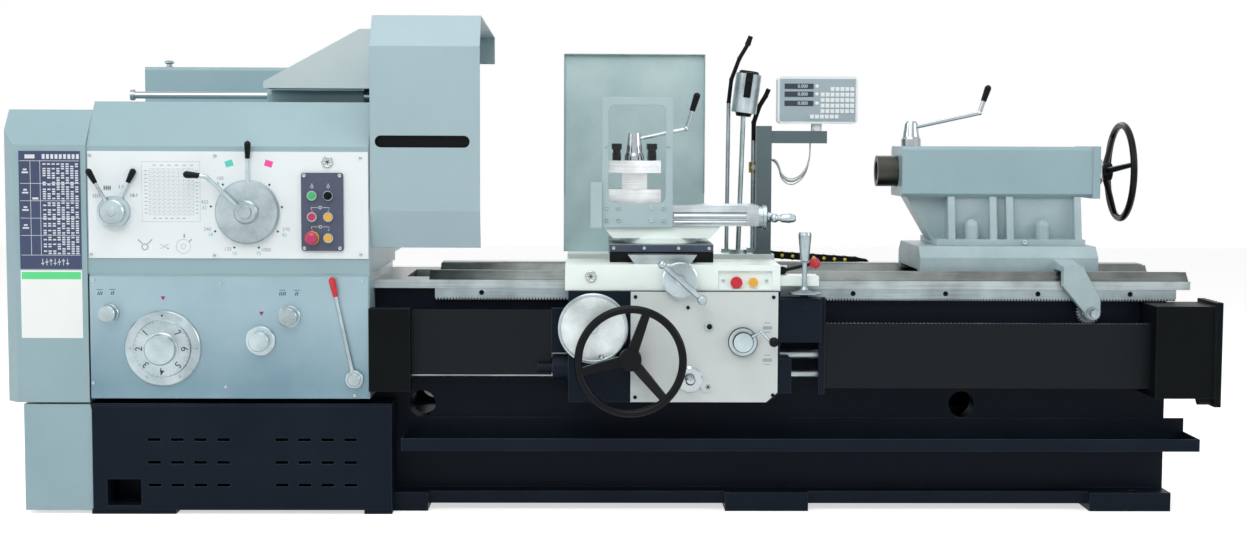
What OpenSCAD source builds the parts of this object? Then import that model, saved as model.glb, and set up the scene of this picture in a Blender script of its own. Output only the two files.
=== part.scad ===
// Engine lathe with a digital readout: long bed on a cast base, geared headstock,
// feed box, carriage with apron and four-way tool post, and a tailstock.
// +X runs along the bed towards the tailstock, -Y faces the operator, +Z is up.
// The origin is on the floor, at the centre of the outer foundation bolts.

/* [Machine] */
// Height of the spindle axis above the floor
axis_h = 1050; // [1035:1:1065]
// Height of the spindle axis above the flat bed ways
centre_h = 315; // [305:1:325]
// Foundation bolt spacing along the machine
bolt_span_x = 3120; // [3100:1:3200]
// Foundation bolt spacing across the machine
bolt_span_y = 620; // [612:1:630]
// Radius of a foundation bolt hole
bolt_r = 14; // [10:0.5:18]
// Place of the carriage: centre line of the cross slide along the bed
carriage_x = 80; // [60:1:100]
// Place of the tailstock: front face of its barrel along the bed
tail_x = 855; // [840:1:870]

/* [Fits] */
// Radial clearance of a shaft that turns or slides in its bore
run_gap = 0.05; // [0.02:0.01:0.1]
// Gap between faces that slide or turn past each other
slide_gap = 0.4; // [0.3:0.1:0.8]
// Gap between a plain hole and the shaft that passes through it
pass_gap = 1; // [0.5:0.1:2]

/* [Bed] */
// Width of the bed over the way strips
bed_w = 580; // [570:1:586]
// Step from the front of the way strips back to the bed walls
wall_inset = 35; // [30:1:40]
// Width of the chip openings between the bed walls
cell_w = 360; // [340:1:368]
// Number of chip openings along the bed
cell_n = 7; // [6:1:8]
// Height of the floor of the chip openings
cell_floor = 262; // [240:1:275]
// Thickness of a cross rib between chip openings
rib_t = 30; // [20:1:40]
// Drop from the flat ways to the carriage strip
way_step = 22; // [18:1:26]
// Height of the ground front face of the strip
strip_h = 26; // [22:1:30]
// Flat land in front of the V way
strip_land = 20; // [14:1:24]
// Height of the V way
v_h = 27; // [24:1:30]
// Width of the V way at its foot
v_w = 54; // [50:1:58]
// Width of the flat way under the tailstock
flat_w = 45; // [40:1:50]
// Length of the relieved bed beside the headstock
gap_l = 170; // [150:1:190]
// Length of the bed past the right foundation bolts
bed_edge = 108; // [100:1:120]
// Overhang of the ways past the end wall
way_overhang = 62; // [50:1:70]
// Radius of the lifting holes
lift_r = 41; // [36:1:45]
// Height of the lifting holes above the floor
lift_z = 322; // [318:1:330]

/* [Base and tray] */
// Length of the cabinet leg under the headstock
leg_l = 915; // [890:1:930]
// Gap between the cabinet leg and the feed box above it
leg_gap = 16; // [8:1:24]
// Length of the cabinet leg left of the foundation bolts
leg_edge = 100; // [90:1:110]
// Height of the foot soles below the plinth
foot_h = 20; // [15:1:25]
// Height of the plinth along the base
plinth_h = 38; // [30:1:45]
// Width over the plinth
plinth_w = 640; // [630:1:660]
// Width over the feet
foot_w = 690; // [685:1:700]
// Height of the tray floor above the floor
tray_z = 200; // [190:1:210]
// Height of the tray's front lip
tray_lip = 38; // [30:1:45]
// Reach of the tray in front of the machine's centre line
tray_front = 420; // [400:1:430]
// Sheet thickness of the tray
tray_t = 4; // [2:0.5:6]
// Thickness of the louvred cover
cover_t = 4; // [2:0.5:4]
// Length of a louvre slot
louvre_l = 39; // [30:1:45]
// Height of a louvre slot
louvre_h = 9; // [6:0.5:12]

/* [Headstock] */
// Length of the headstock
head_l = 850; // [840:1:860]
// Reach of the front panels in front of the centre line
head_front = 400; // [396:1:404]
// Reach of the headstock behind the centre line
head_back = 330; // [320:1:340]
// Height of the headstock's top above the spindle axis
head_rise = 208; // [200:1:215]
// Height of the slanted front edge of the headstock
slant_h = 135; // [120:1:145]
// Depth of the slanted front edge of the headstock
slant_d = 108; // [95:1:120]
// Thickness of the front panels
panel_t = 4; // [3:0.5:6]
// Height of the control panel on the headstock
panel_h = 323; // [310:1:330]
// Lower edge of the control panel above the ways
panel_low = 49; // [45:1:60]

/* [Spindle] */
// Radius of the spindle body in its bearings
spindle_r = 90; // [85:1:95]
// Radius of the spindle's through bore
spindle_bore_r = 52.5; // [45:0.5:55]
// Radius of the spindle's tail
spindle_tail_r = 66; // [62:1:70]
// Radius of the nose flange
nose_r = 140; // [138:1:150]
// Width of the nose flange
nose_w = 44; // [38:1:50]
// Bolt circle diameter on the nose
nose_pcd = 235; // [230:1:240]
// Radius of a nose bolt hole
nose_hole_r = 9; // [7:0.5:10]

/* [Chuck guard] */
// Width of the guard along the bed
guard_w = 332; // [320:1:340]
// Sheet thickness of the guard
guard_t = 4; // [3:0.5:5]
// Height of the guard's top above the spindle axis
guard_rise = 472; // [460:1:480]
// Reach of the guard behind the centre line
guard_back = 450; // [430:1:460]
// Radius of the guard's pivot rod
pivot_r = 11.5; // [10:0.5:13]

/* [Feed box and rods] */
// Depth of the feed box below the ways
feed_drop = 379; // [370:1:386]
// Distance of the three rods in front of the bed's way strips
rods_out = 40; // [36:1:44]
// Depth of the lead screw below the ways
lead_drop = 167; // [166:1:172]
// Radius of the lead screw
lead_r = 20; // [17:0.5:21]
// Depth of the feed rod below the ways
feed_rod_drop = 245; // [240:1:250]
// Radius of the feed rod
feed_rod_r = 15; // [12:0.5:17]
// Depth of the control rod below the ways
control_drop = 308; // [304:1:312]
// Radius of the control rod
control_r = 12; // [10:0.5:14]
// Height of a roller blind
blind_h = 204; // [190:1:210]
// Thickness of a roller blind's curtain
blind_t = 2; // [1:0.5:3]

/* [Rack] */
// Gear module of the rack and its pinions
rack_m = 3; // [2.5:0.5:3]
// Number of rack teeth
rack_teeth = 245; // [200:1:246]
// Height of the rack
rack_h = 36; // [34:1:38]
// Thickness of the rack
rack_w = 30; // [26:1:30]
// Teeth of the carriage pinion
carriage_teeth = 20; // [19:1:21]
// Teeth of the tailstock pinion
tail_teeth = 24; // [23:1:25]
// Backlash of a pinion in the rack
backlash = 0.4; // [0.3:0.1:0.6]

/* [Carriage] */
// Length of the saddle left of the cross slide's centre line
saddle_left = 296; // [285:1:300]
// Length of the saddle right of the cross slide's centre line
saddle_right = 357; // [350:1:365]
// Thickness of the saddle above the flat ways
saddle_t = 35; // [32:1:40]
// Reach of the saddle in front of the bed's way strips
saddle_out = 130; // [126:1:134]
// Reach of the apron in front of the bed's way strips
apron_out = 140; // [138:1:144]
// Depth of the apron's lower edge below the ways
apron_drop = 383; // [376:1:390]
// Thickness of the apron's front plate
plate_t = 12; // [8:1:14]
// Outer radius of the apron handwheel
wheel_r = 168; // [155:1:170]
// Radius of the handwheel's rim section
rim_r = 12; // [10:1:14]
// Radius of the travel dial
travel_r = 106; // [95:1:108]

/* [Cross slide and tool post] */
// Width of the cross slide
cross_w = 320; // [310:1:330]
// Length of the cross slide
cross_l = 460; // [450:1:465]
// Thickness of the cross slide
cross_t = 55; // [50:1:60]
// Distance of the compound slide in front of the centre line
comp_y = 165; // [160:1:170]
// Length of the compound slide
comp_l = 487; // [480:1:495]
// Width of the compound slide
comp_w = 210; // [208:1:216]
// Thickness of the compound slide
comp_t = 64; // [58:1:68]
// Side of the four-way tool post
post_w = 163; // [150:1:164]
// Height of the four-way tool post
post_h = 137; // [130:1:140]
// Height of a tool slot
slot_h = 51; // [45:1:55]
// Depth of a tool slot
slot_d = 42; // [36:1:45]
// Height of the tool shield
shield_h = 403; // [390:1:410]
// Width of the tool shield
shield_w = 219; // [210:1:225]

/* [Readout and lamp] */
// Width of the readout console
console_w = 265; // [255:1:275]
// Height of the readout console
console_h = 156; // [150:1:165]
// Depth of the readout console
console_d = 60; // [50:1:70]
// Side of the readout post
stand_w = 50; // [45:1:55]
// Radius of the lamp head
lamp_r = 42; // [38:1:44]
// Radius of the readout cable
cable_r = 5; // [4:0.5:6]

/* [Tailstock] */
// Length of the tailstock barrel
barrel_l = 613; // [600:1:620]
// Height of the tailstock barrel
barrel_h = 161; // [154:1:166]
// Width of the tailstock barrel
barrel_w = 220; // [214:1:226]
// Length of the tailstock base
tail_base_l = 564; // [555:1:570]
// Height of the tailstock base
tail_base_h = 80; // [76:1:84]
// Radius of the quill
quill_r = 50; // [46:0.5:52]
// Length of quill that stands out at rest
quill_out = 67; // [65:1:80]
// Outer radius of the tailstock handwheel
tail_wheel_r = 162; // [150:1:168]

/* [Hidden] */
$fn = 64;

// Bed levels and half widths
way_z = axis_h - centre_h;
strip_z = way_z - way_step;
rail_z = strip_z - strip_h;
v_peak = strip_z + v_h;
rail_y = bed_w / 2;
rods_y = rail_y + rods_out;
saddle_front = rail_y + saddle_out;
apron_front = rail_y + apron_out;
wall_y = rail_y - wall_inset;
cell_y = cell_w / 2;
v_y = rail_y - strip_land - v_w / 2;
flat_out = rail_y - strip_land - v_w - 11;
flat_in = flat_out - flat_w;
rear_flat = rail_y - 75;
tail_v_y = flat_in + 24;
tail_v_h = 20;

// Stations along the bed
bolt_x = bolt_span_x / 2;
bolt_y = bolt_span_y / 2;
head_x0 = -bolt_x - leg_edge;
head_x1 = head_x0 + head_l;
leg_x1 = head_x0 + leg_l;
wall_x1 = bolt_x + bed_edge;
way_x1 = wall_x1 + way_overhang;
v_x0 = head_x1 + gap_l;
cell_x0 = leg_x1 + 25;
cell_pitch = (wall_x1 - 48 - cell_x0) / cell_n;
lift_x = [leg_x1 + 81, cell_x0 + cell_pitch * (cell_n - 2) + 76];

// Headstock and feed box
panel_y = -head_front;
front_y = panel_y + panel_t;
head_top = axis_h + head_rise;
feed_z0 = way_z - feed_drop;
leg_h = feed_z0 - leg_gap;
lever_x = head_x0 + 85;
dial_x = head_x0 + 485;
lever_z = axis_h - 125;
sleeve_r = 20;
lever_shaft_r = 14;
dial_sleeve_r = 24;
dial_shaft_r = 16;
shaft_in = 40;
knob_r = 10;
knob_at = [[head_x0 + 65, way_z - 118], [head_x0 + 520, way_z - 201], [head_x0 + 608, way_z - 127]];
feed_dial_at = [head_x0 + 224, way_z - 225];
start_at = [head_x0 + 804, way_z - 318];
start_r = 14;
blind_x0 = head_x1 + 124;
blind_y = rods_y + 42;
switch_x = head_x0 + 647;
switch_top = axis_h - 6;
switch_w = 127;
switch_h = 236;
switch_t = 8;
bezel_r = 15;
bezel_t = 8;
button_dx = [33, 82];
button_dz = [69, 133, 197];
stem_r = 8;

// Chuck guard, measured from the pivot rod
guard_x0 = head_x1 + 4;
guard_x1 = guard_x0 + guard_w;
pivot_y = 60;
pivot_z = head_top + 28;
arm_z = pivot_z + 20.5;
block_x0 = head_x1 - 382;
block_x1 = head_x1 - 67;
rod_x0 = head_x0 + 30;

// Rods and right bracket
lead_z = way_z - lead_drop;
feed_rod_z = way_z - feed_rod_drop;
control_z = way_z - control_drop;
bracket_x0 = wall_x1 - 83;
bracket_x1 = wall_x1 + 117;
rod_end = 34;

// Rack and pinions
rack_pitch = PI * rack_m;
rack_x0 = v_x0 + 19;
rack_y = wall_y + rack_w;
pitch_z = rail_z - rack_h + rack_m;
mesh_gap = 0.25;
carriage_pr = rack_m * carriage_teeth / 2;
tail_pr = rack_m * tail_teeth / 2;

// Carriage
saddle_x0 = carriage_x - saddle_left;
saddle_x1 = carriage_x + saddle_right;
saddle_z1 = way_z + saddle_t;
saddle_z0 = way_z - 44;
rear_wing_x1 = saddle_x1 + 33;
saddle_back = rail_y + 28;
apron_x0 = carriage_x - 286;
apron_z0 = way_z - apron_drop;
apron_back = rail_y + 5;
plate_x0 = carriage_x - 97;
plate_x1 = saddle_x1 - 8;
plate_y = -apron_front - plate_t;
travel_at = [carriage_x - 211, way_z - 157];
pinion_at = [carriage_x - 99, pitch_z - carriage_pr - mesh_gap];
pinion_shaft_r = 12;
wheel_at = [carriage_x - 99, way_z - 246];
crank_at = [carriage_x + 50, way_z - 8];
half_nut_at = [carriage_x + 242, way_z - 196];
boss_x1 = saddle_x1 + 125;
boss_z0 = way_z - 199;
boss_z1 = way_z - 66;
boss_back = rods_y + lead_r + 6;
joy_x = saddle_x1 + 74;
joy_y = -apron_front + 18;
lug_x = saddle_x1 + 14;
lug_z = way_z + 14;
lug_y = -rail_y - 50;
travel_shaft_r = 20;
wheel_shaft_r = 16;
crank_shaft_r = 12;
nut_shaft_r = 12;
joy_pin_r = 6;
lug_pin_r = 6;

// Cross slide, compound and tool post
cross_z0 = saddle_z1 + slide_gap;
cross_z1 = cross_z0 + cross_t;
cross_y0 = -rail_y - 20;
dove_z = 28;
dove_base = 85;
dove_top = 105;
swivel_r = 115;
swivel_t = 16;
comp_z0 = cross_z1 + swivel_t + 39 + slide_gap;
comp_z1 = comp_z0 + comp_t;
comp_x0 = carriage_x - 184;
comp_x1 = comp_x0 + comp_l;
comp_front = -comp_y - comp_w / 2;
post_x = carriage_x - 82;
post_y = -comp_y + 15;
post_z = comp_z1 + slide_gap;
stud_r = 16;
comp_screw_z = comp_z0 + 24;
comp_shaft_r = 11;

// Readout, lamp and pipes stand on the rear wing
stand_x = carriage_x + 330;
stand_y = 130;
stand_top = axis_h + 145;
arm_top = axis_h + 129;
console_x = carriage_x + 530;
console_z = axis_h + 153;
pin_r = 10;
lamp_x = carriage_x + 272;
lamp_y = 150;
pipe_x = carriage_x + 327;
pipe_y = 216;

// Tailstock
tail_x1 = tail_x + barrel_l;
barrel_z0 = axis_h - barrel_h / 2;
barrel_z1 = axis_h + barrel_h / 2;
tail_base_z = way_z + tail_base_h;
ped_x0 = tail_x + 147;
ped_x1 = tail_x + 574;
quill_x0 = tail_x - quill_out;
lock_x = tail_x + 45;
lock_r = 12;
tail_shaft_r = 18;
cap_t = 22;
drive_x = tail_x + tail_base_l - 4;
drive_z = pitch_z - tail_pr - mesh_gap;
drive_r = 14;

module bx(x0, x1, y0, y1, z0, z1) {
    translate([x0, y0, z0]) cube([x1 - x0, y1 - y0, z1 - z0]);
}
module cyl_x(x0, x1, y, z, r) {
    translate([x0, y, z]) rotate([0, 90, 0]) cylinder(h = x1 - x0, r = r);
}
module cyl_y(x, y0, y1, z, r) {
    translate([x, y1, z]) rotate([90, 0, 0]) cylinder(h = y1 - y0, r = r);
}
module cyl_z(x, y, z0, z1, r) {
    translate([x, y, z0]) cylinder(h = z1 - z0, r = r);
}
// Extrudes a (y, z) outline along the bed
module along_x(x0, x1) {
    translate([x0, 0, 0]) rotate([90, 0, 90]) linear_extrude(x1 - x0) children();
}
// Extrudes an (x, z) outline across the bed
module along_y(y0, y1) {
    translate([0, y1, 0]) rotate([90, 0, 0]) linear_extrude(y1 - y0) children();
}
// Turns a (radius, height) outline about an axis that points at the operator
module turned_y(x, y, z) {
    translate([x, y, z]) rotate([90, 0, 0]) rotate_extrude() children();
}
// Turns a (radius, height) outline about an axis along the bed
module turned_x(x, y, z) {
    translate([x, y, z]) rotate([0, 90, 0]) rotate_extrude() children();
}
// Round bar, straight or tapered, between two points
module bar(p, q, r0, r1) {
    v = q - p;
    translate(p) rotate([0, acos(v[2] / norm(v)), atan2(v[1], v[0])])
        cylinder(h = norm(v), r1 = r0, r2 = r1);
}
// Lever rod through a list of points with round bends
module bent_rod(points, r) {
    for (i = [0:len(points) - 2]) bar(points[i], points[i + 1], r, r);
    for (i = [1:len(points) - 2]) translate(points[i]) sphere(r = r * 1.12);
}
// Tapered grip with a rounded end
module grip(p, q, r0, r1) {
    v = q - p;
    l = norm(v);
    translate(p) rotate([0, acos(v[2] / l), atan2(v[1], v[0])]) rotate_extrude()
        polygon([[0, 0], [r0, 0], [r1, l], [r1 * 0.85, l + r1 * 0.5], [r1 * 0.45, l + r1 * 0.85], [0, l + r1]]);
}
// Rectangle with round corners
module round_rect(x0, x1, z0, z1, r) {
    translate([x0 + r, z0]) square([x1 - x0 - 2 * r, z1 - z0]);
    translate([x0, z0 + r]) square([x1 - x0, z1 - z0 - 2 * r]);
    for (x = [x0 + r, x1 - r], z = [z0 + r, z1 - r]) translate([x, z]) circle(r = r);
}
// Outline of a turned knob with chamfered edges: flange, then grip
module knob_outline(flange_r, flange_h, grip_r, grip_h) {
    c = 2;
    polygon([[0, 0], [flange_r, 0], [flange_r, flange_h - c], [flange_r - c, flange_h], [grip_r, flange_h],
        [grip_r, grip_h - c], [grip_r - c, grip_h], [0, grip_h]]);
}
// Handwheel with its axis on Z: hub, dished spokes and a round rim
module spoked_wheel(r_out, rim, hub_r, hub_h, dish, turn) {
    translate([0, 0, dish]) rotate_extrude() translate([r_out - rim, 0]) circle(r = rim);
    cylinder(h = hub_h, r = hub_r);
    for (i = [0:2]) rotate(turn + 120 * i)
        bar([hub_r - 8, 0, hub_h - 16], [r_out - rim, 0, dish], rim * 0.95, rim * 0.7);
}
// Involute tooth: half the angle that it takes at radius r
function involute(a) = tan(a) * 180 / PI - a;
function tooth_half(r, z, m) =
    let (rp = m * z / 2, rb = rp * cos(20), a = r <= rb ? 0 : acos(rb / r))
    90 / z - backlash / rp * 90 / PI + involute(20) - involute(a);
function gear_points(z, m) =
    let (rp = m * z / 2, ra = rp + m, rf = rp - 1.25 * m, n = 3)
    [for (i = [0:z - 1]) each let (c = 360 * i / z) concat(
        [for (k = [0:n]) let (r = rf + (ra - rf) * k / n, a = c - tooth_half(r, z, m)) r * [cos(a), sin(a)]],
        [for (k = [n:-1:0]) let (r = rf + (ra - rf) * k / n, a = c + tooth_half(r, z, m)) r * [cos(a), sin(a)]]
    )];
// Angle that puts a pinion tooth in the rack gap nearest above it
function mesh_turn(x, pr) =
    let (dx = rack_x0 + round((x - rack_x0) / rack_pitch) * rack_pitch - x) 90 - dx / pr * 180 / PI;
module pinion(at, z, y0, y1) {
    along_y(y0, y1) translate(at) rotate(mesh_turn(at[0], rack_m * z / 2))
        polygon(gear_points(z, rack_m));
}

module bed_casting() {
    feet = [[leg_x1, leg_x1 + 105], [bolt_x - 1280, bolt_x - 1022], [bolt_x - 145, wall_x1]];
    shelf = [carriage_x + 250, carriage_x + 1010];
    color([0.1, 0.13, 0.18]) difference() {
        union() {
            bx(leg_x1, wall_x1, -wall_y, wall_y, foot_h, rail_z);
            bx(head_x0, leg_x1, -wall_y, wall_y, leg_h, rail_z);
            bx(head_x0, head_x1, -wall_y, wall_y, rail_z, way_z);
            bx(head_x1, v_x0, -rail_y, rail_y, rail_z, strip_z);
            along_x(v_x0, way_x1) polygon([[-rail_y, rail_z], [-rail_y, strip_z], [-v_y - v_w / 2, strip_z],
                [-v_y, v_peak], [-v_y + v_w / 2, strip_z], [-flat_out, strip_z], [-flat_out, way_z],
                [-flat_in, way_z], [-flat_in, rail_z]]);
            along_x(v_x0, way_x1) polygon([[rail_y, rail_z], [rail_y, way_z], [rear_flat, way_z],
                [rear_flat, strip_z], [tail_v_y + tail_v_h, strip_z], [tail_v_y, strip_z + tail_v_h],
                [tail_v_y - tail_v_h, strip_z], [flat_in, strip_z], [flat_in, rail_z]]);
            bx(leg_x1, wall_x1, -plinth_w / 2, plinth_w / 2, foot_h, foot_h + plinth_h);
            for (f = feet) bx(f[0], f[1], -foot_w / 2, foot_w / 2, 0, foot_h + plinth_h);
            bx(shelf[0], shelf[1], wall_y - 1, rail_y + 75, way_z - 175, way_z - 160);
        }
        for (i = [0:cell_n - 1]) {
            x = cell_x0 + i * cell_pitch;
            bx(x, x + cell_pitch - rib_t, -cell_y, cell_y, cell_floor, way_z - 75);
            bx(x, x + cell_pitch - rib_t, -flat_in, flat_in, way_z - 76, way_z + 1);
        }
        for (x = lift_x) cyl_y(x, -wall_y - 1, wall_y + 1, lift_z, lift_r);
        for (y = [-bolt_y, bolt_y]) cyl_z(bolt_x, y, -1, foot_h + plinth_h + 1, bolt_r);
    }
}

module head_leg() {
    sole = 12;
    niche = 52;
    niche_z = [26, 108];
    niche_in = bolt_y - 55;
    end_w = 201;
    back = head_back - 10;
    color([0.12, 0.15, 0.2]) difference() {
        union() {
            bx(head_x0, leg_x1, front_y, back, sole, leg_h);
            bx(head_x0, head_x0 + 256, front_y, back, 0, sole + 1);
            bx(leg_x1 - 85, leg_x1, front_y, back, 0, sole + 1);
            bx(head_x0 - end_w, head_x0 + 1, front_y, back, sole, leg_h - 2);
        }
        bx(head_x0 + 170, leg_x1 - 50, front_y - 1, front_y + 60, 45, leg_h - 45);
        for (y = [-1, 1]) {
            far = y < 0 ? -front_y : back;
            bx(-bolt_x - niche, -bolt_x + niche, y < 0 ? -far - 1 : niche_in, y < 0 ? -niche_in : far + 1,
                niche_z[0], niche_z[1]);
            cyl_z(-bolt_x, y * bolt_y, -1, niche_z[0] + 1, bolt_r);
        }
    }
}

module leg_louvre_cover() {
    color([0.09, 0.12, 0.16]) along_y(front_y - cover_t, front_y) difference() {
        translate([head_x0 + 5, 14]) square([leg_l - 5, leg_h - 20]);
        translate([-bolt_x - 52, 26]) square([104, 82]);
        for (block = [193, 580], i = [0:3], z = [90, 160, 230])
            translate([head_x0 + block + 70 * i - louvre_l / 2, z - louvre_h / 2]) square([louvre_l, louvre_h]);
    }
}

module chip_tray() {
    x0 = leg_x1 + 31;
    rear_h = 80;
    color([0.11, 0.14, 0.19]) {
        along_x(x0, way_x1) polygon([[-wall_y, tray_z], [-tray_front, tray_z], [-tray_front, tray_z + tray_lip],
            [-tray_front + tray_t, tray_z + tray_lip], [-tray_front + tray_t, tray_z + tray_t],
            [-wall_y - tray_t, tray_z + tray_t], [-wall_y - tray_t, tray_z + rear_h], [-wall_y, tray_z + rear_h]]);
        for (x = [x0, way_x1 - tray_t]) bx(x, x + tray_t, -tray_front, -wall_y - 1, tray_z, tray_z + tray_lip);
    }
}

module gear_rack() {
    tip = rack_m * tan(20);
    root = 1.25 * rack_m * tan(20);
    quarter = rack_pitch / 4;
    z0 = pitch_z - rack_m;
    z1 = pitch_z + 1.25 * rack_m;
    l = rack_teeth * rack_pitch;
    color([0.55, 0.56, 0.57]) difference() {
        along_y(-rack_y, -wall_y) polygon(concat(
            [[rack_x0, rail_z], [rack_x0, z1]],
            [for (i = [0:rack_teeth - 1]) let (c = rack_x0 + (i + 0.5) * rack_pitch) each [
                [c - quarter - root, z1], [c - quarter + tip, z0], [c + quarter - tip, z0], [c + quarter + root, z1]]],
            [[rack_x0 + l, z1], [rack_x0 + l, rail_z]]));
        for (i = [0:7]) cyl_y(rack_x0 + l * (i + 0.5) / 8, -rack_y - 1, -rack_y + 12, rail_z - 14, 8);
    }
}

module headstock_housing() {
    color([0.63, 0.69, 0.71]) difference() {
        union() {
            along_x(head_x0, head_x1) polygon([[front_y, way_z], [front_y, head_top - slant_h],
                [front_y + slant_d, head_top], [head_back, head_top], [head_back, way_z]]);
            cyl_x(head_x1 - 1, head_x1 + 20, 0, axis_h, spindle_r + 62);
            along_x(block_x0, block_x1) {
                translate([pivot_y - 18, head_top - 1]) square([36, pivot_z - head_top + 1]);
                translate([pivot_y, pivot_z]) circle(r = 18);
            }
        }
        cyl_x(head_x0 - 1, head_x1 + 21, 0, axis_h, spindle_r + run_gap);
        cyl_x(block_x0 - 1, block_x1 + 1, pivot_y, pivot_z, pivot_r + run_gap);
        cyl_y(lever_x, front_y - 1, front_y + shaft_in, lever_z, sleeve_r + run_gap);
        cyl_y(dial_x, front_y - 1, front_y + shaft_in, lever_z, dial_sleeve_r + run_gap);
    }
}

module headstock_panel() {
    z0 = way_z + panel_low;
    color([0.9, 0.91, 0.92]) difference() {
        bx(head_x0 + 5, head_x1 - 2, panel_y, front_y, z0, z0 + panel_h);
        cyl_y(lever_x, panel_y - 1, front_y + 1, lever_z, sleeve_r + pass_gap);
        cyl_y(dial_x, panel_y - 1, front_y + 1, lever_z, dial_sleeve_r + pass_gap);
    }
}

module button_panel() {
    z0 = switch_top - switch_h;
    y1 = panel_y - switch_t;
    y0 = y1 - bezel_t;
    function at(i, j) = [switch_x + button_dx[i], switch_top - button_dz[j]];
    color([0.24, 0.27, 0.3]) difference() {
        union() {
            along_y(y1, panel_y) round_rect(switch_x, switch_x + switch_w, z0, switch_top, 8);
            for (i = [0, 1], j = [0:2]) let (p = at(i, j))
                cyl_y(p[0], y0, y1 + 1, p[1], i == 0 && j == 2 ? bezel_r * 1.4 : bezel_r);
            for (p = [at(0, 0), at(0, 1), at(1, 1), at(1, 2)]) cyl_y(p[0], y0 - 5, y0 + 1, p[1], 11);
        }
        for (p = [at(1, 0), at(0, 2)]) cyl_y(p[0], y0 - 1, panel_y + 1, p[1], stem_r + run_gap);
    }
}

module mode_switch() {
    x = switch_x + button_dx[1];
    z = switch_top - button_dz[0];
    y0 = panel_y - switch_t - bezel_t - slide_gap;
    color([0.06, 0.06, 0.07]) {
        cyl_y(x, y0 - 1, panel_y - 2, z, stem_r);
        cyl_y(x, y0 - 8, y0, z, 12.5);
        translate([x, 0, z]) rotate([0, 35, 0]) bx(-4, 4, y0 - 17, y0 - 7, -12, 12);
    }
}

module emergency_stop() {
    x = switch_x + button_dx[0];
    z = switch_top - button_dz[2];
    y0 = panel_y - switch_t - bezel_t - 5;
    color([0.72, 0.06, 0.12]) {
        cyl_y(x, y0 - 1, y0 + 13, z, stem_r);
        turned_y(x, y0, z) polygon([[0, 0], [17, 0], [20, 4], [20, 10], [16, 15], [9, 18], [0, 19]]);
    }
}

// Lever in the panel's plane: rod from the hub's rim to a black tapered grip
module panel_lever(at, y, a, r0, r1, len, lean) {
    d = [sin(a), -lean, cos(a)];
    p = [at[0], y, at[1]];
    bar(p + r0 * d, p + r1 * d, 6, 5);
    grip(p + (r1 - 4) * d, p + (r1 + len) * d, 7, 10);
}

module range_lever_rear() {
    y0 = panel_y - slide_gap;
    color([0.75, 0.76, 0.77]) {
        difference() {
            union() {
                cyl_y(lever_x, y0 - 24, y0, lever_z, 48);
                cyl_y(lever_x, y0 - 1, front_y + shaft_in - 2, lever_z, sleeve_r);
            }
            cyl_y(lever_x, y0 - 25, front_y + shaft_in, lever_z, lever_shaft_r + run_gap);
        }
        panel_lever([lever_x, lever_z], y0 - 12, 26, 44, 102, 32, 0);
    }
}

module range_lever_front() {
    y0 = panel_y - 2 * slide_gap - 24;
    color([0.75, 0.76, 0.77]) {
        turned_y(lever_x, y0, lever_z) polygon([[0, 0], [37, 0], [37, 16], [33, 20], [14, 20], [12, 24], [0, 24]]);
        cyl_y(lever_x, y0 - 1, front_y + shaft_in - 4, lever_z, lever_shaft_r);
        panel_lever([lever_x, lever_z], y0 - 12, -29, 33, 102, 36, 0);
    }
}

module speed_dial() {
    y0 = panel_y - slide_gap;
    color([0.76, 0.77, 0.78]) {
        difference() {
            union() {
                turned_y(dial_x, y0, lever_z) polygon([[0, 0], [97, 0], [97, 14], [92, 22], [0, 22]]);
                cyl_y(dial_x, y0 - 1, front_y + shaft_in - 2, lever_z, dial_sleeve_r);
            }
            cyl_y(dial_x, y0 - 23, front_y + shaft_in, lever_z, dial_shaft_r + run_gap);
        }
        panel_lever([dial_x, lever_z], y0 - 13, 1, 88, 165, 40, 0);
    }
}

module speed_lever() {
    y0 = panel_y - 2 * slide_gap - 22;
    z = lever_z - 6;
    color([0.76, 0.77, 0.78]) {
        turned_y(dial_x, y0, lever_z) polygon([[0, 0], [36, 0], [36, 16], [31, 22], [20, 22], [18, 30], [0, 30]]);
        cyl_y(dial_x, y0 - 1, front_y + shaft_in - 4, lever_z, dial_shaft_r);
        bent_rod([[dial_x - 24, y0 - 14, z + 24], [dial_x - 115, y0 - 20, z + 112],
            [dial_x - 138, y0 - 24, z + 116]], 6.5);
        grip([dial_x - 134, y0 - 24, z + 116], [dial_x - 172, y0 - 28, z + 119], 8, 11);
    }
}

module feed_box() {
    y1 = -wall_y;
    z_top = lead_z + 66;
    color([0.6, 0.66, 0.68]) difference() {
        union() {
            bx(head_x0 + 5, head_x1, front_y, y1, feed_z0, way_z);
            bx(head_x1 - 1, blind_x0, -rods_y - 90, -rods_y - 32, z_top - blind_h - 49, z_top);
        }
        for (r = [[lead_z, lead_r], [feed_rod_z, feed_rod_r], [control_z, control_r]])
            cyl_x(head_x1 - rod_end, head_x1 + 1, -rods_y, r[0], r[1] + run_gap);
        bx(blind_x0 - 60, blind_x0 + 1, -blind_y - 4, -blind_y + 4, z_top - blind_h - 6, z_top - 2);
        for (k = knob_at) cyl_y(k[0], front_y - 1, front_y + shaft_in, k[1], knob_r + run_gap);
        cyl_y(feed_dial_at[0], front_y - 1, front_y + shaft_in, feed_dial_at[1], dial_shaft_r + run_gap);
        cyl_y(start_at[0], front_y - 1, front_y + shaft_in, start_at[1], start_r + run_gap);
    }
}

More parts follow.
